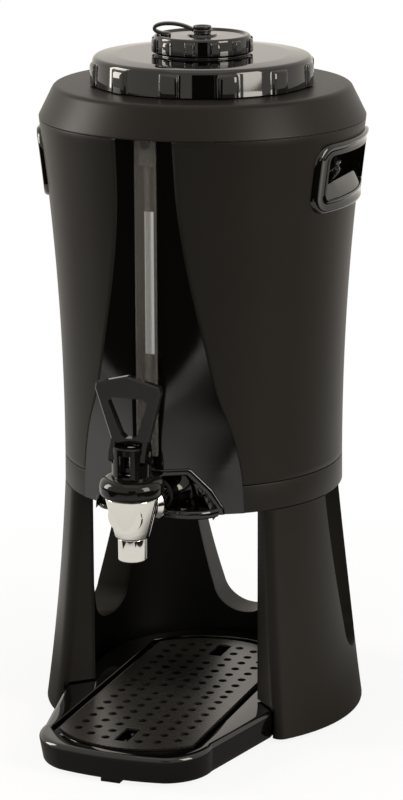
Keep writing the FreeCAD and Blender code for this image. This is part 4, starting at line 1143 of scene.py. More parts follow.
    def sole(self, surface: Surface, loop: np.ndarray) -> None:
        """Close the foot: a rim, then a step up to a flat ceiling that clears the base ring.

        Args:
            surface: The pedestal.
            loop: Lower edge of all its walls.
        """
        ahead = np.roll(loop, -1, 0) - np.roll(loop, 1, 0)
        ahead = ahead / np.maximum(np.linalg.norm(ahead, axis=1, keepdims=True), 1e-6)
        inward = np.stack([-ahead[:, 1], ahead[:, 0], 0 * ahead[:, 0]], -1)
        area = np.cross(loop, np.roll(loop, -1, 0)).sum(0)[2]
        angle = np.arctan2(np.abs(loop[:, 0]), -loop[:, 1])
        wide = self.skirt - self.inner(angle, loop[:, 2])
        inset = np.clip(wide / 2 - 2.4, 0.05, self.sole_rim)[:, None]
        rim = loop + inward * inset * math.copysign(1.0, area)
        ceiling = rim + self.sole_step * UP
        surface.grid(np.stack([loop, rim]), wrap_columns=True, facing=towards(0.0, 0.0, -1.0))
        surface.grid(np.stack([rim, ceiling]), wrap_columns=True)
        surface.cap(ceiling, -UP)


# Drip tray


@dataclass
class DripTray:
    """Tray with a rounded rim, a groove and a ridge for the grate, a basin and three feet."""

    middle_y: float = -59.0
    top: float = 23.0
    foot: float = 3.0
    half: float = 77.8
    nose_half: float = 61.5
    front: float = -188.2
    nose_corner: tuple[float, float] = (38.7, 4.0)
    nose_bulge: tuple[float, float] = (56.3, 18.0)
    side_end: float = -74.0
    turn_y: float = -148.0
    drafts: Triple = (1.0, 1.0, 5.5)
    rim: float = 4.0
    grate: Triple = (48.5, 66.0, 115.0)
    groove: Corners = ((-7.0, 23.0, 0.0), (-5.5, 23.0, 0.7), (-5.5, 18.0, 1.0), (2.0, 18.0, 1.0),
                       (2.0, 20.8, 0.4), (6.0, 20.8, 0.4), (6.0, 7.0, 1.5), (9.0, 7.0, 0.0))
    front_foot: Triple = (7.0, -181.0, -170.0)
    heel: Triple = (7.0, 35.5, -10.5)
    foot_levels: Triple = (0.0, 2.0, 3.4)
    columns: int = 720

    def outline(self, side: float, flare: float, nose: float) -> np.ndarray:
        """Tray seen from above, half of it: rear arc, side, flare, round corner, nose arc.

        Args:
            side: Inset of the side.
            flare: Inset of the nose's sides.
            nose: Inset of the nose's front.

        Returns:
            Points from the rear to the nose.
        """
        half, nose_half, front = self.half - side, self.nose_half - flare, self.front + nose
        slim = nose_half / self.nose_half
        corner = np.array([self.nose_corner[0] * slim, front + self.nose_corner[1]])
        bulge = np.array([self.nose_bulge[0] * slim, front + self.nose_bulge[1]])
        turn_y = max(self.turn_y, bulge[1] + self.nose_bulge[1])
        rear = np.linspace(0.0, math.pi / 2, 60)[:, None]
        rear = half * np.concatenate([np.sin(rear), np.cos(rear)], 1)
        nose_arc = self.arc(np.array([-corner[0], corner[1]]), np.array([0.0, front]), corner)
        round_arc = self.arc(corner, bulge, np.array([nose_half, turn_y]))
        side_line = np.array([[half, 0.0], [half, self.side_end]])
        return np.concatenate([rear, side_line, round_arc[::-1], nose_arc[30:][::-1]])

    @staticmethod
    def arc(start: np.ndarray, middle: np.ndarray, end: np.ndarray, steps: int = 60) -> np.ndarray:
        """Points on the circle through three points, turned the way that passes the second.

        Args:
            start: First point.
            middle: A point between.
            end: Last point.
            steps: How many steps.

        Returns:
            Points from the first to the last.
        """
        centre = circle_centre(start, middle, end)
        a, m, b = [math.atan2(*(point - centre)[::-1]) for point in (start, middle, end)]
        turn = (b - a) % (2 * math.pi)
        turn = turn if (m - a) % (2 * math.pi) < turn else turn - 2 * math.pi
        angles = a + turn * np.linspace(0.0, 1.0, steps + 1)
        return centre + np.linalg.norm(start - centre) * np.stack([np.cos(angles),
                                                                   np.sin(angles)], -1)

    def grate_outline(self, inset: float) -> np.ndarray:
        """Grate seen from above, half of it: straight side between the arcs of the two ends.

        Args:
            inset: How far it is drawn in.

        Returns:
            Points from the rear to the front.
        """
        half, end, length = [size - inset for size in self.grate]
        turn = np.linspace(0.0, math.asin(half / end), 50)[:, None]
        cap = np.concatenate([end * np.sin(turn), length - end + end * np.cos(turn)], 1)
        return np.concatenate([cap, cap[::-1] * np.array([1.0, -1.0])]) + np.array(
            [0.0, self.middle_y])

    def level(self, half: np.ndarray, z: float) -> np.ndarray:
        """One loop of the tray: a half outline and its mirror, met at even angles.

        Each side of the outline is split finely, and the distance at an angle from the rear is
        read between the split points.

        Args:
            half: The half outline.
            z: The loop's height.

        Returns:
            Its points.
        """
        x, y = half[:, 0], half[:, 1] - self.middle_y
        order = np.argsort(np.arctan2(x, y))
        dense = np.linspace(0.0, 1.0, 40)[None]
        px, py = [(side[order][:-1, None] + (side[order][1:, None] - side[order][:-1, None])
                   * dense).ravel() for side in (x, y)]
        angles = full_turn(self.columns)
        wrapped = np.abs((angles + math.pi) % (2 * math.pi) - math.pi)
        reach = np.interp(wrapped, np.arctan2(px, py), np.hypot(px, py))
        return at_height(np.stack([reach * np.sin(angles), self.middle_y + reach * np.cos(angles)],
                                  -1), z)

    def wall_level(self, z: float, inset: float) -> np.ndarray:
        """One loop of the drafted outer wall."""
        drafts = np.array(self.drafts) * (self.top - z) / (self.top - self.foot)
        return self.level(self.outline(*(drafts + inset)), z)

    def build(self) -> None:
        """Make the tray from loops, the underside first: wall, rim, groove, ridge, basin."""
        steps = [(self.foot, 1.2), (self.foot + 0.3, 0.25), (self.foot + 1.2, 0.0)]
        steps += [(z, 0.0) for z in np.linspace(self.foot + 4.0, self.top - self.rim, 5)]
        steps += [(self.top - self.rim + self.rim * math.sin(turn), self.rim * (1 - math.cos(turn)))
                  for turn in np.radians(np.linspace(0.0, 90.0, 9))[1:]]
        loops = [self.wall_level(*step) for step in steps]
        loops += [self.level(self.grate_outline(inset), z) for inset, z in rounded(self.groove)[1:]]
        surface = Surface("drip_tray_body")
        surface.grid(np.stack(loops), wrap_columns=True, facing=above(22.9))
        surface.cap(loops[0], -UP).cap(loops[-1], UP)
        levels = np.array(self.foot_levels)
        feet = [rounded(rectangle(*self.front_foot, (0.8,) * 4), closed=True)]
        radius, x, y = self.heel
        turn = full_turn(32)
        feet += [radius * np.stack([np.sin(turn), np.cos(turn)], -1) + np.array([side * x, y])
                 for side in (-1.0, 1.0)]
        for foot in feet:
            surface.tube(at_height(np.repeat(foot[None], len(levels), 0), levels))
        surface.made("tray", Slot.GLOSS, ("drip_tray",))


# Container


@dataclass
class Container:
    """Waisted shell, base band and shoulder collar."""

    foot: float = 165.5
    band_top: float = 184.8
    seam: float = 424.5
    foot_radius: float = 98.4
    seam_radius: float = 113.0
    bow: float = 4.65
    wall: float = 3.0
    band_bore: float = 84.9
    collar_top: float = 446.8
    collar_edge: float = 102.4
    collar_bore: float = 68.1
    handle_y: float = 46.0
    handle_z: float = 392.0
    handle_hole: Triple = (45.0, 372.5, 412.0)
    panel_edge: tuple[tuple[float, float], ...] = (
        (165.5, 59.0), (195.0, 57.0), (220.0, 52.5), (248.0, 43.3), (283.0, 36.0), (316.0, 29.5),
        (343.0, 25.0), (376.0, 21.3), (424.5, 20.0))
    radius: Curve = field(init=False)
    edge: Curve = field(init=False)

    def __post_init__(self) -> None:
        """Work out the waisted outline and the panel's edge."""
        middle = (self.foot_radius + self.seam_radius) / 2 - self.bow
        self.radius = arc_through((self.foot, self.foot_radius),
                                  ((self.foot + self.seam) / 2, middle),
                                  (self.seam, self.seam_radius))
        self.edge = smooth_through(*np.array(self.panel_edge).T)

    def edge_angle(self, z: np.ndarray) -> np.ndarray:
        """Angle of the panel's edge on the shell."""
        return np.arcsin(self.edge(z) / self.radius(z))

    def shell(self) -> None:
        """Shell from one edge of the panel round the back to the other, a hole at each handle.

        Columns stand at even shares between the panel's edge, the two edges of the handle's
        field and the back; the radius follows the waist, eased at the seams.
        """
        half_hole, low, high = self.handle_hole
        z = np.concatenate([[self.band_top + 0.15], np.linspace(185.6, low, 60),
                            np.linspace(376.0, high, 12), [416.0, 420.0, 423.6, 424.2, 424.4]])
        side = math.acos(self.handle_y / float(self.radius(np.array(self.handle_z))))
        stops = [self.edge_angle(z), *[np.full_like(z, stop) for stop in (
            side, math.pi - side, math.pi)]]
        half = []
        for start, end, count in zip(stops, stops[1:], (28, 28, 36)):
            share = np.linspace(0.0, 1.0, count, endpoint=False)[None]
            half.append(start[:, None] + share * (end - start)[:, None])
        angle = np.concatenate(half + [stops[-1][:, None]], 1)
        angle = np.concatenate([angle, 2 * math.pi - angle[:, -2::-1]], 1)
        ease = np.interp(z, [184.95, 185.6, 423.6, 424.2, 424.4], [0.45, 0.0, 0.0, 0.15, 0.45])
        points = around(angle, (self.radius(z) - ease)[:, None], z[:, None])
        y = (points[:-1, :-1, 1] + points[1:, 1:, 1]) / 2
        height = (z[:-1] + z[1:])[:, None] / 2
        hole = (np.abs(y) < half_hole) & (height > low) & (height < high)
        Surface("container_shell").grid(points, facing=radial, keep=~hole).made(
            "container", Slot.SATIN, ("outer_shell",), wall=self.wall)

    def band(self) -> None:
        """Base band: a closed section with a flange, carried round from edge to edge."""
        low, high = self.radius(np.array([self.foot, self.band_top]))
        bore, lip, step = self.band_bore, self.band_top - 0.1, self.foot + self.wall
        section = rounded(((bore, self.foot, 0.3), (low, self.foot, 0.7), (high, lip, 0.5),
                           (high - self.wall, lip, 0.3), (low - self.wall, step, 0.3),
                           (bore, step, 0.3)), closed=True, steps=4)
        start = self.edge_angle(section[:, 1])
        share = np.linspace(0.0, 1.0, 200)[:, None]
        rings = around(start + share * (2 * math.pi - 2 * start), section[:, 0], section[:, 1])
        Surface("container_band").tube(rings).made("container", Slot.SATIN, ("base_band",))

    def collar(self) -> None:
        """Sloped shoulder with a rounded top edge, flat round the neck."""
        r, top, under = self.seam_radius, self.collar_top, self.collar_top - self.wall
        low, bend = self.seam + 0.05, self.seam + 1.0
        section = rounded(((r, low, 0.3), (r, bend, 1.2), (self.collar_edge, top, 5.0),
                           (self.collar_bore, top, 0.4), (self.collar_bore, under, 0.3),
                           (98.0, under, 3.0), (r - self.wall, bend, 0.4),
                           (r - self.wall, low, 0.2)), closed=True, steps=7)
        Surface("shoulder").grid(spun(section, full_turn(240)), True, True, above(top - 0.2)).made(
            "container", Slot.SATIN, ("shoulder_collar",))

    def build(self) -> None:
        """Make the three shells."""
        self.shell()
        self.band()
        self.collar()


@dataclass
class FrontPanel:
    """Glossy panel: a flat strip with the gauge's channel and two flanks that meet the shell."""

    shell: Container
    plane: float = -106.8
    strip: float = 10.0
    wall: float = 3.0
    channel: float = 5.5
    channel_back: float = -101.05
    core: float = 12.0
    core_back: float = -95.0
    arch_top: float = 199.3
    fold: float = 2.3
    arch_half: Corners = ((47.5, 165.5, 0.0), (46.9, 170.6, 6.0), (40.0, 183.5, 9.0),
                          (27.0, 199.2, 6.0))
    rim: Corners = ((0.15, 1.6, 0.0), (0.15, -1.05, 0.9), (4.9, -1.05, 1.6), (4.9, 3.0, 0.0))
    lining: tuple[tuple[float, float], ...] = (
        (4.9, -97.0), (4.9, -93.5), (5.2, -91.8), (5.9, -91.2), (7.1, -91.0))
    floor_front: tuple[tuple[float, float], ...] = (
        (-44.3, -90.2), (-41.5, -95.5), (-38.5, -99.6), (-34.5, -102.4), (-29.0, -103.3),
        (-18.0, -103.5), (0.0, -103.5))
    floor_back: float = -89.5
    floor_edge: tuple[tuple[float, float], ...] = (
        (0.8, 165.5), (0.2, 165.7), (0.0, 166.3), (0.0, 167.7), (0.25, 168.3), (0.9, 168.5))
    bar: tuple[tuple[float, float], ...] = (
        (13.0, -106.3), (22.0, -106.2), (29.0, -105.2), (35.5, -102.2), (40.0, -98.0),
        (43.4, -92.0))
    bar_section: tuple[Triple, Four] = ((2.4, 165.5, 171.6), (0.5, 1.6, 2.2, 1.6))

    def depth(self, x: np.ndarray, z: np.ndarray) -> np.ndarray:
        """Y of the panel's front: flat in the strip, straight on to the shell, the fold eased.

        Past the strip it falls in proportion to the distance, and near the fold a parabola
        as long as the fold on each side joins the two.

        Args:
            x: Places across.
            z: Heights.

        Returns:
            Y at each of them.
        """
        width = self.shell.edge(z)
        edge_y = -np.sqrt(self.shell.radius(z) ** 2 - width ** 2)
        slope = (edge_y - self.plane) / (width - self.strip)
        past = np.abs(x) - self.strip
        eased = np.where(np.abs(past) < self.fold, (past + self.fold) ** 2 / (4 * self.fold),
                         np.maximum(past, 0.0))
        return self.plane + slope * eased

    def front(self, x: np.ndarray, z: np.ndarray, back: float = 0.0) -> np.ndarray:
        """Points of the panel's front, or as far behind it as asked."""
        return np.stack([x, self.depth(x, z) + back, z + 0 * x], -1)

    @staticmethod
    def across(inner: np.ndarray | float, outer: np.ndarray, count: int) -> np.ndarray:
        """Columns from an inner to an outer x, closer together near the strip's fold.

        Args:
            inner: Inner x, one or one for each row.
            outer: Outer x of each row.
            count: How many columns.

        Returns:
            Rows by columns.
        """
        share = np.linspace(0.0, 1.0, count)[None] ** 1.25
        inner = np.broadcast_to(inner, outer.shape)
        return inner[:, None] + share * (outer - inner)[:, None]

    @staticmethod
    def fixed(z: np.ndarray, places: list[tuple[float, float]]) -> np.ndarray:
        """Columns that stay at the same (x, y) on every row."""
        return at_height(np.broadcast_to(places, (len(z), len(places), 2)), z)

    @staticmethod
    def closed(surface: Surface, rings: np.ndarray) -> None:
        """Add rings with caps, the faces turned by the sign of the area that a ring encloses.

        Args:
            surface: Where they go.
            rings: The rings, the lowest first.
        """
        area = np.cross(rings[0], np.roll(rings[0], -1, 0)).sum(0)[2]
        surface.grid((rings if area > 0 else rings[:, ::-1])[::-1], wrap_columns=True)
        surface.cap(rings[0], -UP).cap(rings[-1], UP)

    def upper(self, surface: Surface) -> None:
        """Section over the arch: channel, strip, right flank and the back, and its mirror.

        Args:
            surface: Where it goes.
        """
        z = np.concatenate([np.linspace(self.arch_top, 423.9, 96), [424.4]])
        rows, edge = z[:, None], self.shell.edge(z) - 0.05
        ends = np.broadcast_to([self.channel, self.channel + 0.5], (len(z), 2))
        half = np.concatenate([ends, self.across(8.6, edge, 26)], 1)
        channel = self.fixed(z, [(0.0, self.channel_back), (self.channel, self.channel_back),
                                 (self.channel, self.plane + 0.5)])
        back = np.stack([edge, (edge + self.core) / 2, np.full_like(z, self.core)], 1)
        core = self.fixed(z, [(self.core, self.core_back), (0.0, self.core_back)])
        chain = np.concatenate([channel, self.front(half, rows), self.front(back, rows, self.wall),
                                core], 1)
        self.closed(surface, np.concatenate([chain, chain[:, -2:0:-1] * MIRROR], 1))

    def lower(self, surface: Surface) -> None:
        """The two feet of the panel beside the arch.

        Args:
            surface: Where they go.
        """
        arch = self.arch()
        arch = arch[:len(arch) // 2]
        z = np.concatenate([[165.5, 165.8], np.linspace(167.0, self.arch_top, 34)])
        inner = np.interp(z, arch[:, 1], arch[:, 0])
        inner[-1] = 26.0
        front = self.front(self.across(inner, self.shell.edge(z) - 0.05, 14), z[:, None])
        rings = np.concatenate([front, front[:, ::-1] + np.array([0.0, self.wall, 0.0])], 1)
        self.closed(surface, rings)
        self.closed(surface, rings * MIRROR)

    def arch(self) -> np.ndarray:
        """Outline of the recess from the right foot over the top to the left, corners rounded."""
        left = tuple((-x, z, radius) for x, z, radius in reversed(self.arch_half))
        return rounded(self.arch_half + left, steps=8)

    def recess(self) -> None:
        """Lining of the arch: a rounded rim, a wall to the back and the back wall.

        Each row is the arch drawn inwards by an inset; the rim's rows lie a rise off the
        panel's front, the others at a fixed depth.
        """
        path = even(self.arch(), 180)
        steps = np.gradient(path, axis=0)
        steps[0], steps[-1] = (0.0, 1.0), (0.0, -1.0)
        inward = unit(np.stack([-steps[:, 1], steps[:, 0]], -1))
        rim, lining = rounded(self.rim, steps=6), np.array(self.lining)
        insets = np.concatenate([rim[:, 0], lining[:, 0]])
        x, z = np.moveaxis(path + inward * insets[:, None, None], -1, 0)
        z = np.maximum(z, self.shell.foot)
        y = self.depth(x, z)
        y[:len(rim)] += rim[:, 1:]
        y[len(rim):] = lining[:, 1:]
        rows = np.stack([x, y, z], -1)
        middle = rows[-1:] * np.array([0.02, 1.0, 1.0])
        Surface("recess_lining").grid(
            np.concatenate([rows, middle]), facing=towards(0.0, -1.0, 0.0)).made(
            "container", Slot.GLOSS, ("tap_recess",), wall=1.6)

    def recess_floor(self) -> None:
        """Floor of the recess with eased edges, and the bars on its front."""
        front = np.array(self.floor_front)
        corner = -front[0, 0]
        plan = np.concatenate([front, front[-2::-1] * MIRROR[:2],
                               [(corner, self.floor_back), (-corner, self.floor_back)]])
        edge = np.array(self.floor_edge)
        inward = np.array([0.0, 1.0]) * (plan[:, 1:] < -90.0)
        surface = Surface("recess_floor").tube(
            at_height(plan + inward * edge[:, None, :1], edge[:, 1]))
        self.rim_bars(surface)
        surface.made("container", Slot.GLOSS)

    def rim_bars(self, surface: Surface) -> None:
        """Rounded bars left and right of the tap, a section carried along a level path.

        Args:
            surface: Where they go.
        """
        path = even(np.array(self.bar), 40)
        ahead = np.gradient(path, axis=0)
        out = unit(np.stack([ahead[:, 1], -ahead[:, 0]], -1))
        size, radii = self.bar_section
        section = rounded(rectangle(*size, radii), closed=True, steps=6)
        spot = path[:, None] + out[:, None] * section[None, :, :1]
        height = np.broadcast_to(section[None, :, 1:], spot.shape[:2] + (1,))
        rings = np.concatenate([spot, height], -1)
        surface.tube(rings)
        surface.tube(rings[:10, ::-1] * MIRROR)

    def build(self) -> None:
        """Make the panel, the recess and its floor."""
        surface = Surface("front_panel_skin")
        self.upper(surface)
        self.lower(surface)
        surface.made("container", Slot.GLOSS, ("front_panel",), sharp=25.0)
        self.recess()
        self.recess_floor()


@dataclass
class Handle:
    """Rounded frame on the shell's side and the finger pocket behind it.

    A frame size is half width, lower edge, upper edge and rounding. The bead's rows are a share
    of the way from the outer to the inner outline and a height above the shell, the pocket's
    rows an inset, an x and a share of the floor's climb.
    """

    shell: Container
    side: float
    outer: Four = (50.0, 368.5, 416.3, 12.0)
    grip: Four = (38.5, 377.5, 407.5, 4.0)
    slope: float = 10.0
    wall: float = 1.2
    bead: tuple[tuple[float, float], ...] = (
        (0.0, -1.2), (0.0, 0.6), (0.02, 1.6), (0.07, 2.5), (0.15, 2.95), (0.26, 2.95), (0.36, 2.6),
        (0.50, 2.1), (0.66, 1.9), (0.80, 2.05), (0.89, 2.45), (0.95, 2.4), (0.99, 1.8), (1.0, 0.6))
    pocket: tuple[Triple, ...] = (
        (0.0, 101.5, 0.97), (0.1, 100.8, 1.0), (0.3, 92.0, 1.0), (0.5, 88.6, 1.0),
        (1.4, 87.5, 1.0), (3.0, 87.0, 1.0))

    @staticmethod
    def outline(frame_size: Four, inset: float = 0.0) -> np.ndarray:
        """Rounded rectangle in (y, z), drawn in evenly, each step split so that it can bend.

        Args:
            frame_size: Its sizes.
            inset: How far it is drawn in.

        Returns:
            Its points.
        """
        half, low, high, corner = frame_size
        line = rounded(rectangle(half - inset, low + inset, high - inset,
                                 (max(corner - inset, 1.0),) * 4), closed=True, steps=8)
        ahead = np.roll(line, -1, 0) - line
        share = np.linspace(0.0, 1.0, 8, endpoint=False)[None, :, None]
        return (line[:, None] + ahead[:, None] * share).reshape(-1, 2)

    def build(self) -> None:
        """Make the handle: rise over the shell, roll over the bead, drop into the pocket.

        A row at a height above the shell lies at x = root((R + height)^2 - y^2), and the
        pocket's floor climbs towards its back.
        """
        outer, inner = self.outline(self.outer), self.outline(self.grip)
        rows = []
        for part, height in self.bead:
            y, z = (outer + (inner - outer) * part).T
            rows.append(np.stack([np.sqrt((self.shell.radius(z) + height) ** 2 - y ** 2), y, z],
                                 -1))
        low, high = self.grip[1:3]
        for inset, x, climb in self.pocket:
            y, z = self.outline(self.grip, inset).T
            lift = climb * self.slope * (high - z) / (high - low)
            rows.append(np.stack([np.full_like(y, x), y, z + lift], -1))
        grid = np.stack(rows) * np.array([self.side, 1.0, 1.0])
        name = "right" if self.side > 0 else "left"
        surface = Surface("handle_frame_" + name)
        surface.grid(grid, wrap_columns=True, facing=towards(self.side, 0.0, 0.0))
        surface.cap(grid[-1], np.array([self.side, 0.0, 0.0]))
        surface.made("container", Slot.GLOSS, ("handle_" + name,), wall=self.wall)


# Tap


@dataclass
class Tap:
    """Chrome cone, spout and horn with the black bonnet above."""

    y: float = -136.6
    axis_z: float = 177.0
    cone: Corners = ((7.4, 159.45, 0.3), (11.3, 159.45, 2.2), (12.5, 164.0, 5.0),
                     (18.4, 188.2, 0.5), (12.0, 188.2, 0.2), (12.0, 172.0, 1.0), (7.4, 168.0, 0.5))
    spout: Corners = ((7.4, 143.8, 0.6), (9.7, 143.8, 1.0), (9.7, 159.4, 0.4), (7.4, 159.4, 0.2))
    bonnet: Corners = ((17.15, 188.4, 0.2), (18.4, 188.4, 0.4), (21.7, 190.0, 4.2),
                       (21.7, 202.0, 6.2), (13.45, 202.0, 0.4), (13.45, 194.0, 0.2),
                       (17.15, 194.0, 0.2))
    horn_line: Corners = ((0.0, -150.0, 0.0), (11.9, -150.0, 0.0), (11.9, -119.5, 2.5),
                          (14.8, -115.6, 1.0), (14.8, -109.45, 0.8), (8.15, -109.45, 0.2),
                          (8.15, -112.0, 0.0), (0.0, -112.0, 0.0))
    horn_top: float = 187.6
    horn_flange: float = -113.0
    keel_half: float = 3.2
    keel_top: float = 171.0
    keel_line: tuple[tuple[float, float], ...] = ((-112.3, 162.9), (-126.0, 161.6), (-139.0, 160.6))

    def spin(self, name: str, corners: Corners, slot: Slot, node: str, steps: int = 6,
             count: int = 128) -> None:
        """Make a piece from a closed section turned about the tap's axis.

        Args:
            name: The piece.
            corners: Its section.
            slot: Its material slot.
            node: The CAD node that it stands for.
            steps: Steps of each rounding.
            count: Steps of the turn.
        """
        section = rounded(corners, closed=True, steps=steps)
        centre = np.array([0.0, self.y, 0.0])
        outward = beyond(section[:, 0].max() - 0.4)
        Surface(name).grid(spun(section, full_turn(count)) + centre, True, True,
                           lambda points: outward(points - centre)).made("container", slot, (node,))

    def horn(self) -> None:
        """Horn and flange from the cone back to the shank, turned about a line along Y.

        It is cut flat under the bonnet, and a rounded keel runs under it.
        """
        section = rounded(self.horn_line, steps=6)
        turn = full_turn(96)[:, None]
        radius, y = section[None, :, 0], section[None, :, 1] + 0 * turn
        z = self.axis_z + radius * np.sin(turn)
        z = np.where((z > self.horn_top) & (y < self.horn_flange), self.horn_top, z)
        centre = np.array([0.0, 0.0, self.axis_z])
        surface = Surface("tap_horn").grid(
            np.stack([radius * np.cos(turn), y, z], -1), wrap_rows=True,
            facing=lambda points: (points - centre) * np.array([1.0, 0.0, 1.0]))
        keel = rounded(rectangle(self.keel_half, -1.0, 1.0, (1.2, 1.2, 0.6, 0.6)), closed=True)
        y, low = np.array(self.keel_line).T[..., None]
        surface.tube(np.stack(np.broadcast_arrays(
            keel[:, 0], y, low + (self.keel_top - low) * (keel[:, 1] + 1.0) / 2), -1))
        surface.made("container", Slot.CHROME)

    def build(self) -> None:
        """Make the turned pieces of the tap."""
        self.spin("tap_cone", self.cone, Slot.CHROME, "tap_body")
        self.spin("tap_spout_tube", self.spout, Slot.CHROME, "tap_spout", count=96)
        self.spin("tap_bonnet", self.bonnet, Slot.TAP_BLACK, "bonnet_ring", 9)
        self.horn()


# Lids


@dataclass
class Lug:
    """Grip lugs round a lid: how many, how wide, where the first stands and how far out."""

    count: int
    width: float
    phase: float
    radius: float
    side: float = 1.4

    def lobed(self, base: np.ndarray, full: np.ndarray) -> np.ndarray:
        """A profile turned about the axis and swollen at the lugs.

        Columns stand close together at the lugs' sides, where the swell follows the cubic
        3t^2 - 2t^3, and further apart between the lugs.

        Args:
            base: The profile between the lugs.
            full: Swell of each of its points on a lug.

        Returns:
            The grid.
        """
        half, side = self.width / 2 / self.radius, self.side / self.radius
        rise = np.linspace(0.0, 1.0, 6)
        smooth = rise * rise * (3 - 2 * rise)
        period = 2 * math.pi / self.count
        one = np.concatenate([
            -half - side + side * rise, np.linspace(-half, half, 6)[1:-1], half + side * rise,
            np.linspace(half + side, period - half - side, 16)[1:-1]])
        level = np.concatenate([smooth, np.ones(4), smooth[::-1], np.zeros(14)])
        starts = math.radians(self.phase) + period * np.arange(self.count)[:, None]
        return spun(base, (starts + one).ravel(), np.tile(level, self.count)[:, None] * full)


@dataclass
class Lid:
    """Big screw lid with grip lugs, and the neck in its middle."""

    lugs: Lug = field(default_factory=lambda: Lug(12, 11.5, 3.5, 78.0))
    bottom: float = 447.2
    top: float = 467.0
    lug_top: float = 463.2
    crown: float = 1.1
    foot: float = 76.4
    wall: float = 75.6
    inside: tuple[tuple[float, float], ...] = ((27.1, 467.0), (27.1, 460.5), (66.7, 460.5),
                                               (66.7, 447.2))
    neck: Corners = ((24.5, 446.0, 0.4), (26.9, 446.0, 0.4), (26.9, 467.03, 0.0),
                     (33.0, 467.03, 0.2), (33.0, 467.9, 0.4), (30.0, 467.9, 0.5),
                     (30.0, 474.5, 0.6), (24.5, 474.5, 0.6))

    def build(self) -> None:
        """Make the lid and its neck: the lugs stand out to their radius and fade at their top."""
        low, high, foot, wall = self.bottom, self.top, self.foot, self.wall
        outside = rounded(((foot, low, 0.6), (wall, high - self.crown, 3.6), (60.0, high, 40.0),
                           (28.0, high, 0.0)), steps=10)
        heights = np.concatenate([np.linspace(low + 1.0, self.lug_top - 2.4, 5),
                                  self.lug_top - np.array([1.6, 0.9, 0.4, 0.1, 0.0])])
        side = np.stack([np.interp(heights, [low, high], [foot, wall]), heights], -1)
        base = np.concatenate([[(foot - 0.5, low), (foot, low + 0.5)], side,
                               outside[outside[:, 1] > side[-1, 1] + 0.01], self.inside])
        rise = np.interp(base[:, 1], [low, self.lug_top - 2.4, self.lug_top - 0.8, self.lug_top],
                         [1.0, 1.0, 0.62, 0.0]) * (base[:, 0] > wall - 0.6)
        full = np.maximum(self.lugs.radius - base[:, 0], 0.0) * rise
        full[0] = self.lugs.radius - 0.5 - base[0, 0]
        Surface("lid_cover").grid(self.lugs.lobed(base, full), True, True, above(high - 0.05)).made(
            "lid", Slot.GLOSS, ("main_lid",))
        neck = rounded(self.neck, closed=True, steps=5)
        Surface("lid_neck").grid(spun(neck, full_turn(160)), True, True, beyond(32.5)).made(
            "lid", Slot.GLOSS, ("fill_neck",))


@dataclass
class SmallCap:
    """Small screw cap with grip lugs, a raised rim and a middle boss."""

    lugs: Lug = field(default_factory=lambda: Lug(12, 5.2, 5.7, 35.4))
    wall: float = 33.2
    section: Corners = ((2.25, 476.7, 0.0), (30.7, 476.7, 0.3), (30.7, 468.8, 0.3),
                        (33.2, 468.8, 0.4), (33.2, 478.2, 0.0), (33.2, 480.3, 1.8),
                        (30.0, 480.3, 0.8), (29.0, 479.1, 0.5), (10.4, 479.1, 0.5),
                        (9.5, 480.3, 0.5), (2.25, 480.3, 0.3))
    wall_rows: tuple[float, ...] = (469.5, 471.0, 474.5, 476.8, 477.4, 477.9, 478.1)

    def build(self) -> None:
        """Make the cap: rows are added to its wall, where the lugs swell and fade."""
        base = rounded(self.section, closed=True, steps=6)
        at = np.flatnonzero((np.abs(base[:, 0] - self.wall) < 1e-6) & (base[:, 1] > 478.0))[0]
        extra = np.array([(self.wall, height) for height in self.wall_rows])
        base = np.insert(base, at, extra, axis=0)
        rise = np.interp(base[:, 1], [468.8, 469.3, 476.8, 477.6, 478.1, 478.3],
                         [0.75, 1.0, 1.0, 0.8, 0.35, 0.0]) * (base[:, 0] > 32.0)
        full = np.maximum(self.lugs.radius - base[:, 0], 0.0) * rise
        Surface("cap_cover").grid(self.lugs.lobed(base, full), True, True, above(480.2)).made(
            "cap", Slot.GLOSS, ("fill_cap",))


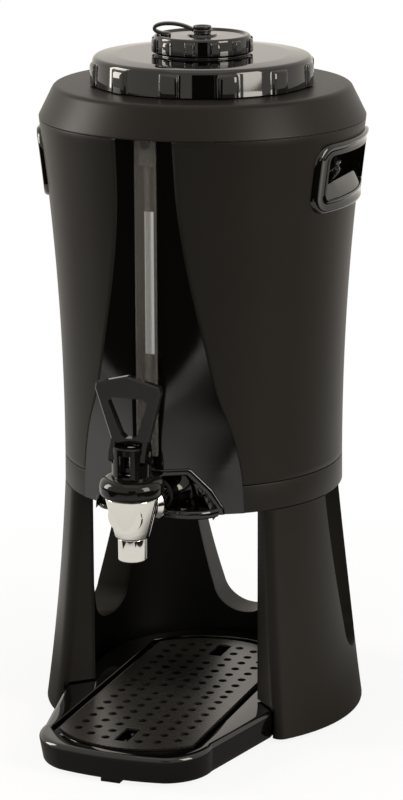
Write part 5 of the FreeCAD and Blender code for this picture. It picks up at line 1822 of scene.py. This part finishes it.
@dataclass
class VentPlug:
    """Rubber plug with a waist and a head, and its flat tether."""

    direction: float = math.radians(200.7)
    width: float = 5.6
    thick: float = 2.3
    edge: float = 0.55
    controls: tuple[tuple[float, float], ...] = (
        (6.0, 482.85), (19.0, 491.15), (42.0, 488.05), (35.0, 480.4), (23.0, 480.4))
    ring: Corners = ((4.75, 482.25, 0.3), (7.3, 482.25, 0.5), (7.3, 483.45, 0.5),
                     (4.75, 483.45, 0.3))
    disc: Corners = ((0.0, 479.15, 0.0), (3.6, 479.15, 0.3), (3.6, 480.8, 0.5), (0.0, 480.8, 0.0))
    disc_place: Triple = (25.0, 0.0, 0.0)
    blend: tuple[Triple, Triple] = ((31.0, 0.0, 482.8), (5.0, 0.0, 482.8))
    plug: Corners = ((0.0, 474.35, 0.0), (1.5, 474.35, 0.2), (2.1, 475.2, 0.3), (2.1, 480.65, 0.0),
                     (6.0, 480.65, 0.3), (6.0, 481.9, 0.4), (4.4, 481.9, 0.3), (4.4, 483.8, 0.3),
                     (5.8, 483.8, 0.3), (6.5, 485.8, 0.5), (5.4, 485.8, 0.3), (3.4, 484.8, 0.4),
                     (0.0, 484.8, 0.0))

    def line(self, share: np.ndarray) -> np.ndarray:
        """Middle line of the tether: the Bezier curve of its controls.

        Neighbouring controls are mixed in the place's share until one point is left.

        Args:
            share: Places along it, 0 to 1.

        Returns:
            Points in (distance from the axis, height).
        """
        points = np.array(self.controls)[:, None]
        while len(points) > 1:
            points = points[:-1] + (points[1:] - points[:-1]) * share[:, None]
        return points[0]

    def tether(self) -> None:
        """Band with a rounded section along the line, a ring at the plug and a foot disc."""
        path = self.line(np.linspace(0.0, 1.0, 60))
        ahead = unit(np.gradient(path, axis=0))
        up = np.stack([-ahead[:, 1], ahead[:, 0]], -1)
        section = rounded(rectangle(self.width / 2, -self.thick / 2, self.thick / 2,
                                    (self.edge,) * 4), closed=True, steps=4)
        x, z = np.moveaxis(path[:, None] + up[:, None] * section[None, :, 1:], -1, 0)
        c, s = math.cos(self.direction), math.sin(self.direction)
        turn = np.array([[c, s, 0.0], [-s, c, 0.0], [0.0, 0.0, 1.0]])
        surface = Surface("plug_tether")
        surface.tube(np.stack(np.broadcast_arrays(x, section[:, 0], z), -1) @ turn)
        surface.grid(spun(rounded(self.ring, closed=True), full_turn(48)), True, True, beyond(7.0))
        disc = spun(rounded(self.disc), full_turn(40)) + np.array(self.disc_place)
        centre = (np.array(self.disc_place) + 480.0 * UP) @ turn
        surface.grid(disc @ turn, wrap_rows=True, facing=lambda points: points - centre)
        piece = surface.made("", Slot.RUBBER, ("plug_strap",))
        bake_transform(piece)

    def build(self) -> None:
        """Make the plug and the tether."""
        Surface("plug_body").grid(spun(rounded(self.plug), full_turn(64)), wrap_rows=True,
                                  facing=radial).made("plug", Slot.RUBBER, ("vent_plug",))
        self.tether()


class Fittings:
    """CAD nodes whose shape is right: they keep their mesh and get a finish."""

    @staticmethod
    def build() -> None:
        """Dress every node by its slot in the record."""
        for part in frame["record"]["subparts"]:
            for socket in frame["nodes"][part["node"]].material_slots:
                socket.link = "OBJECT"
                socket.material = Palette.material(Slot(part["material_slot"]))


def main() -> None:
    """Build every sub-assembly in order."""
    logging.basicConfig(level=logging.INFO, format="%(name)s: %(message)s")
    container = Container()
    builders = [Studio(), Fittings(), Stand(), DripTray(), container, FrontPanel(container),
                Handle(container, 1.0), Handle(container, -1.0), Tap(), Lid(), SmallCap(),
                VentPlug()]
    for builder in builders:
        builder.build()
        log.info("%s is in place", type(builder).__name__)


if __name__ == "__main__":
    main()
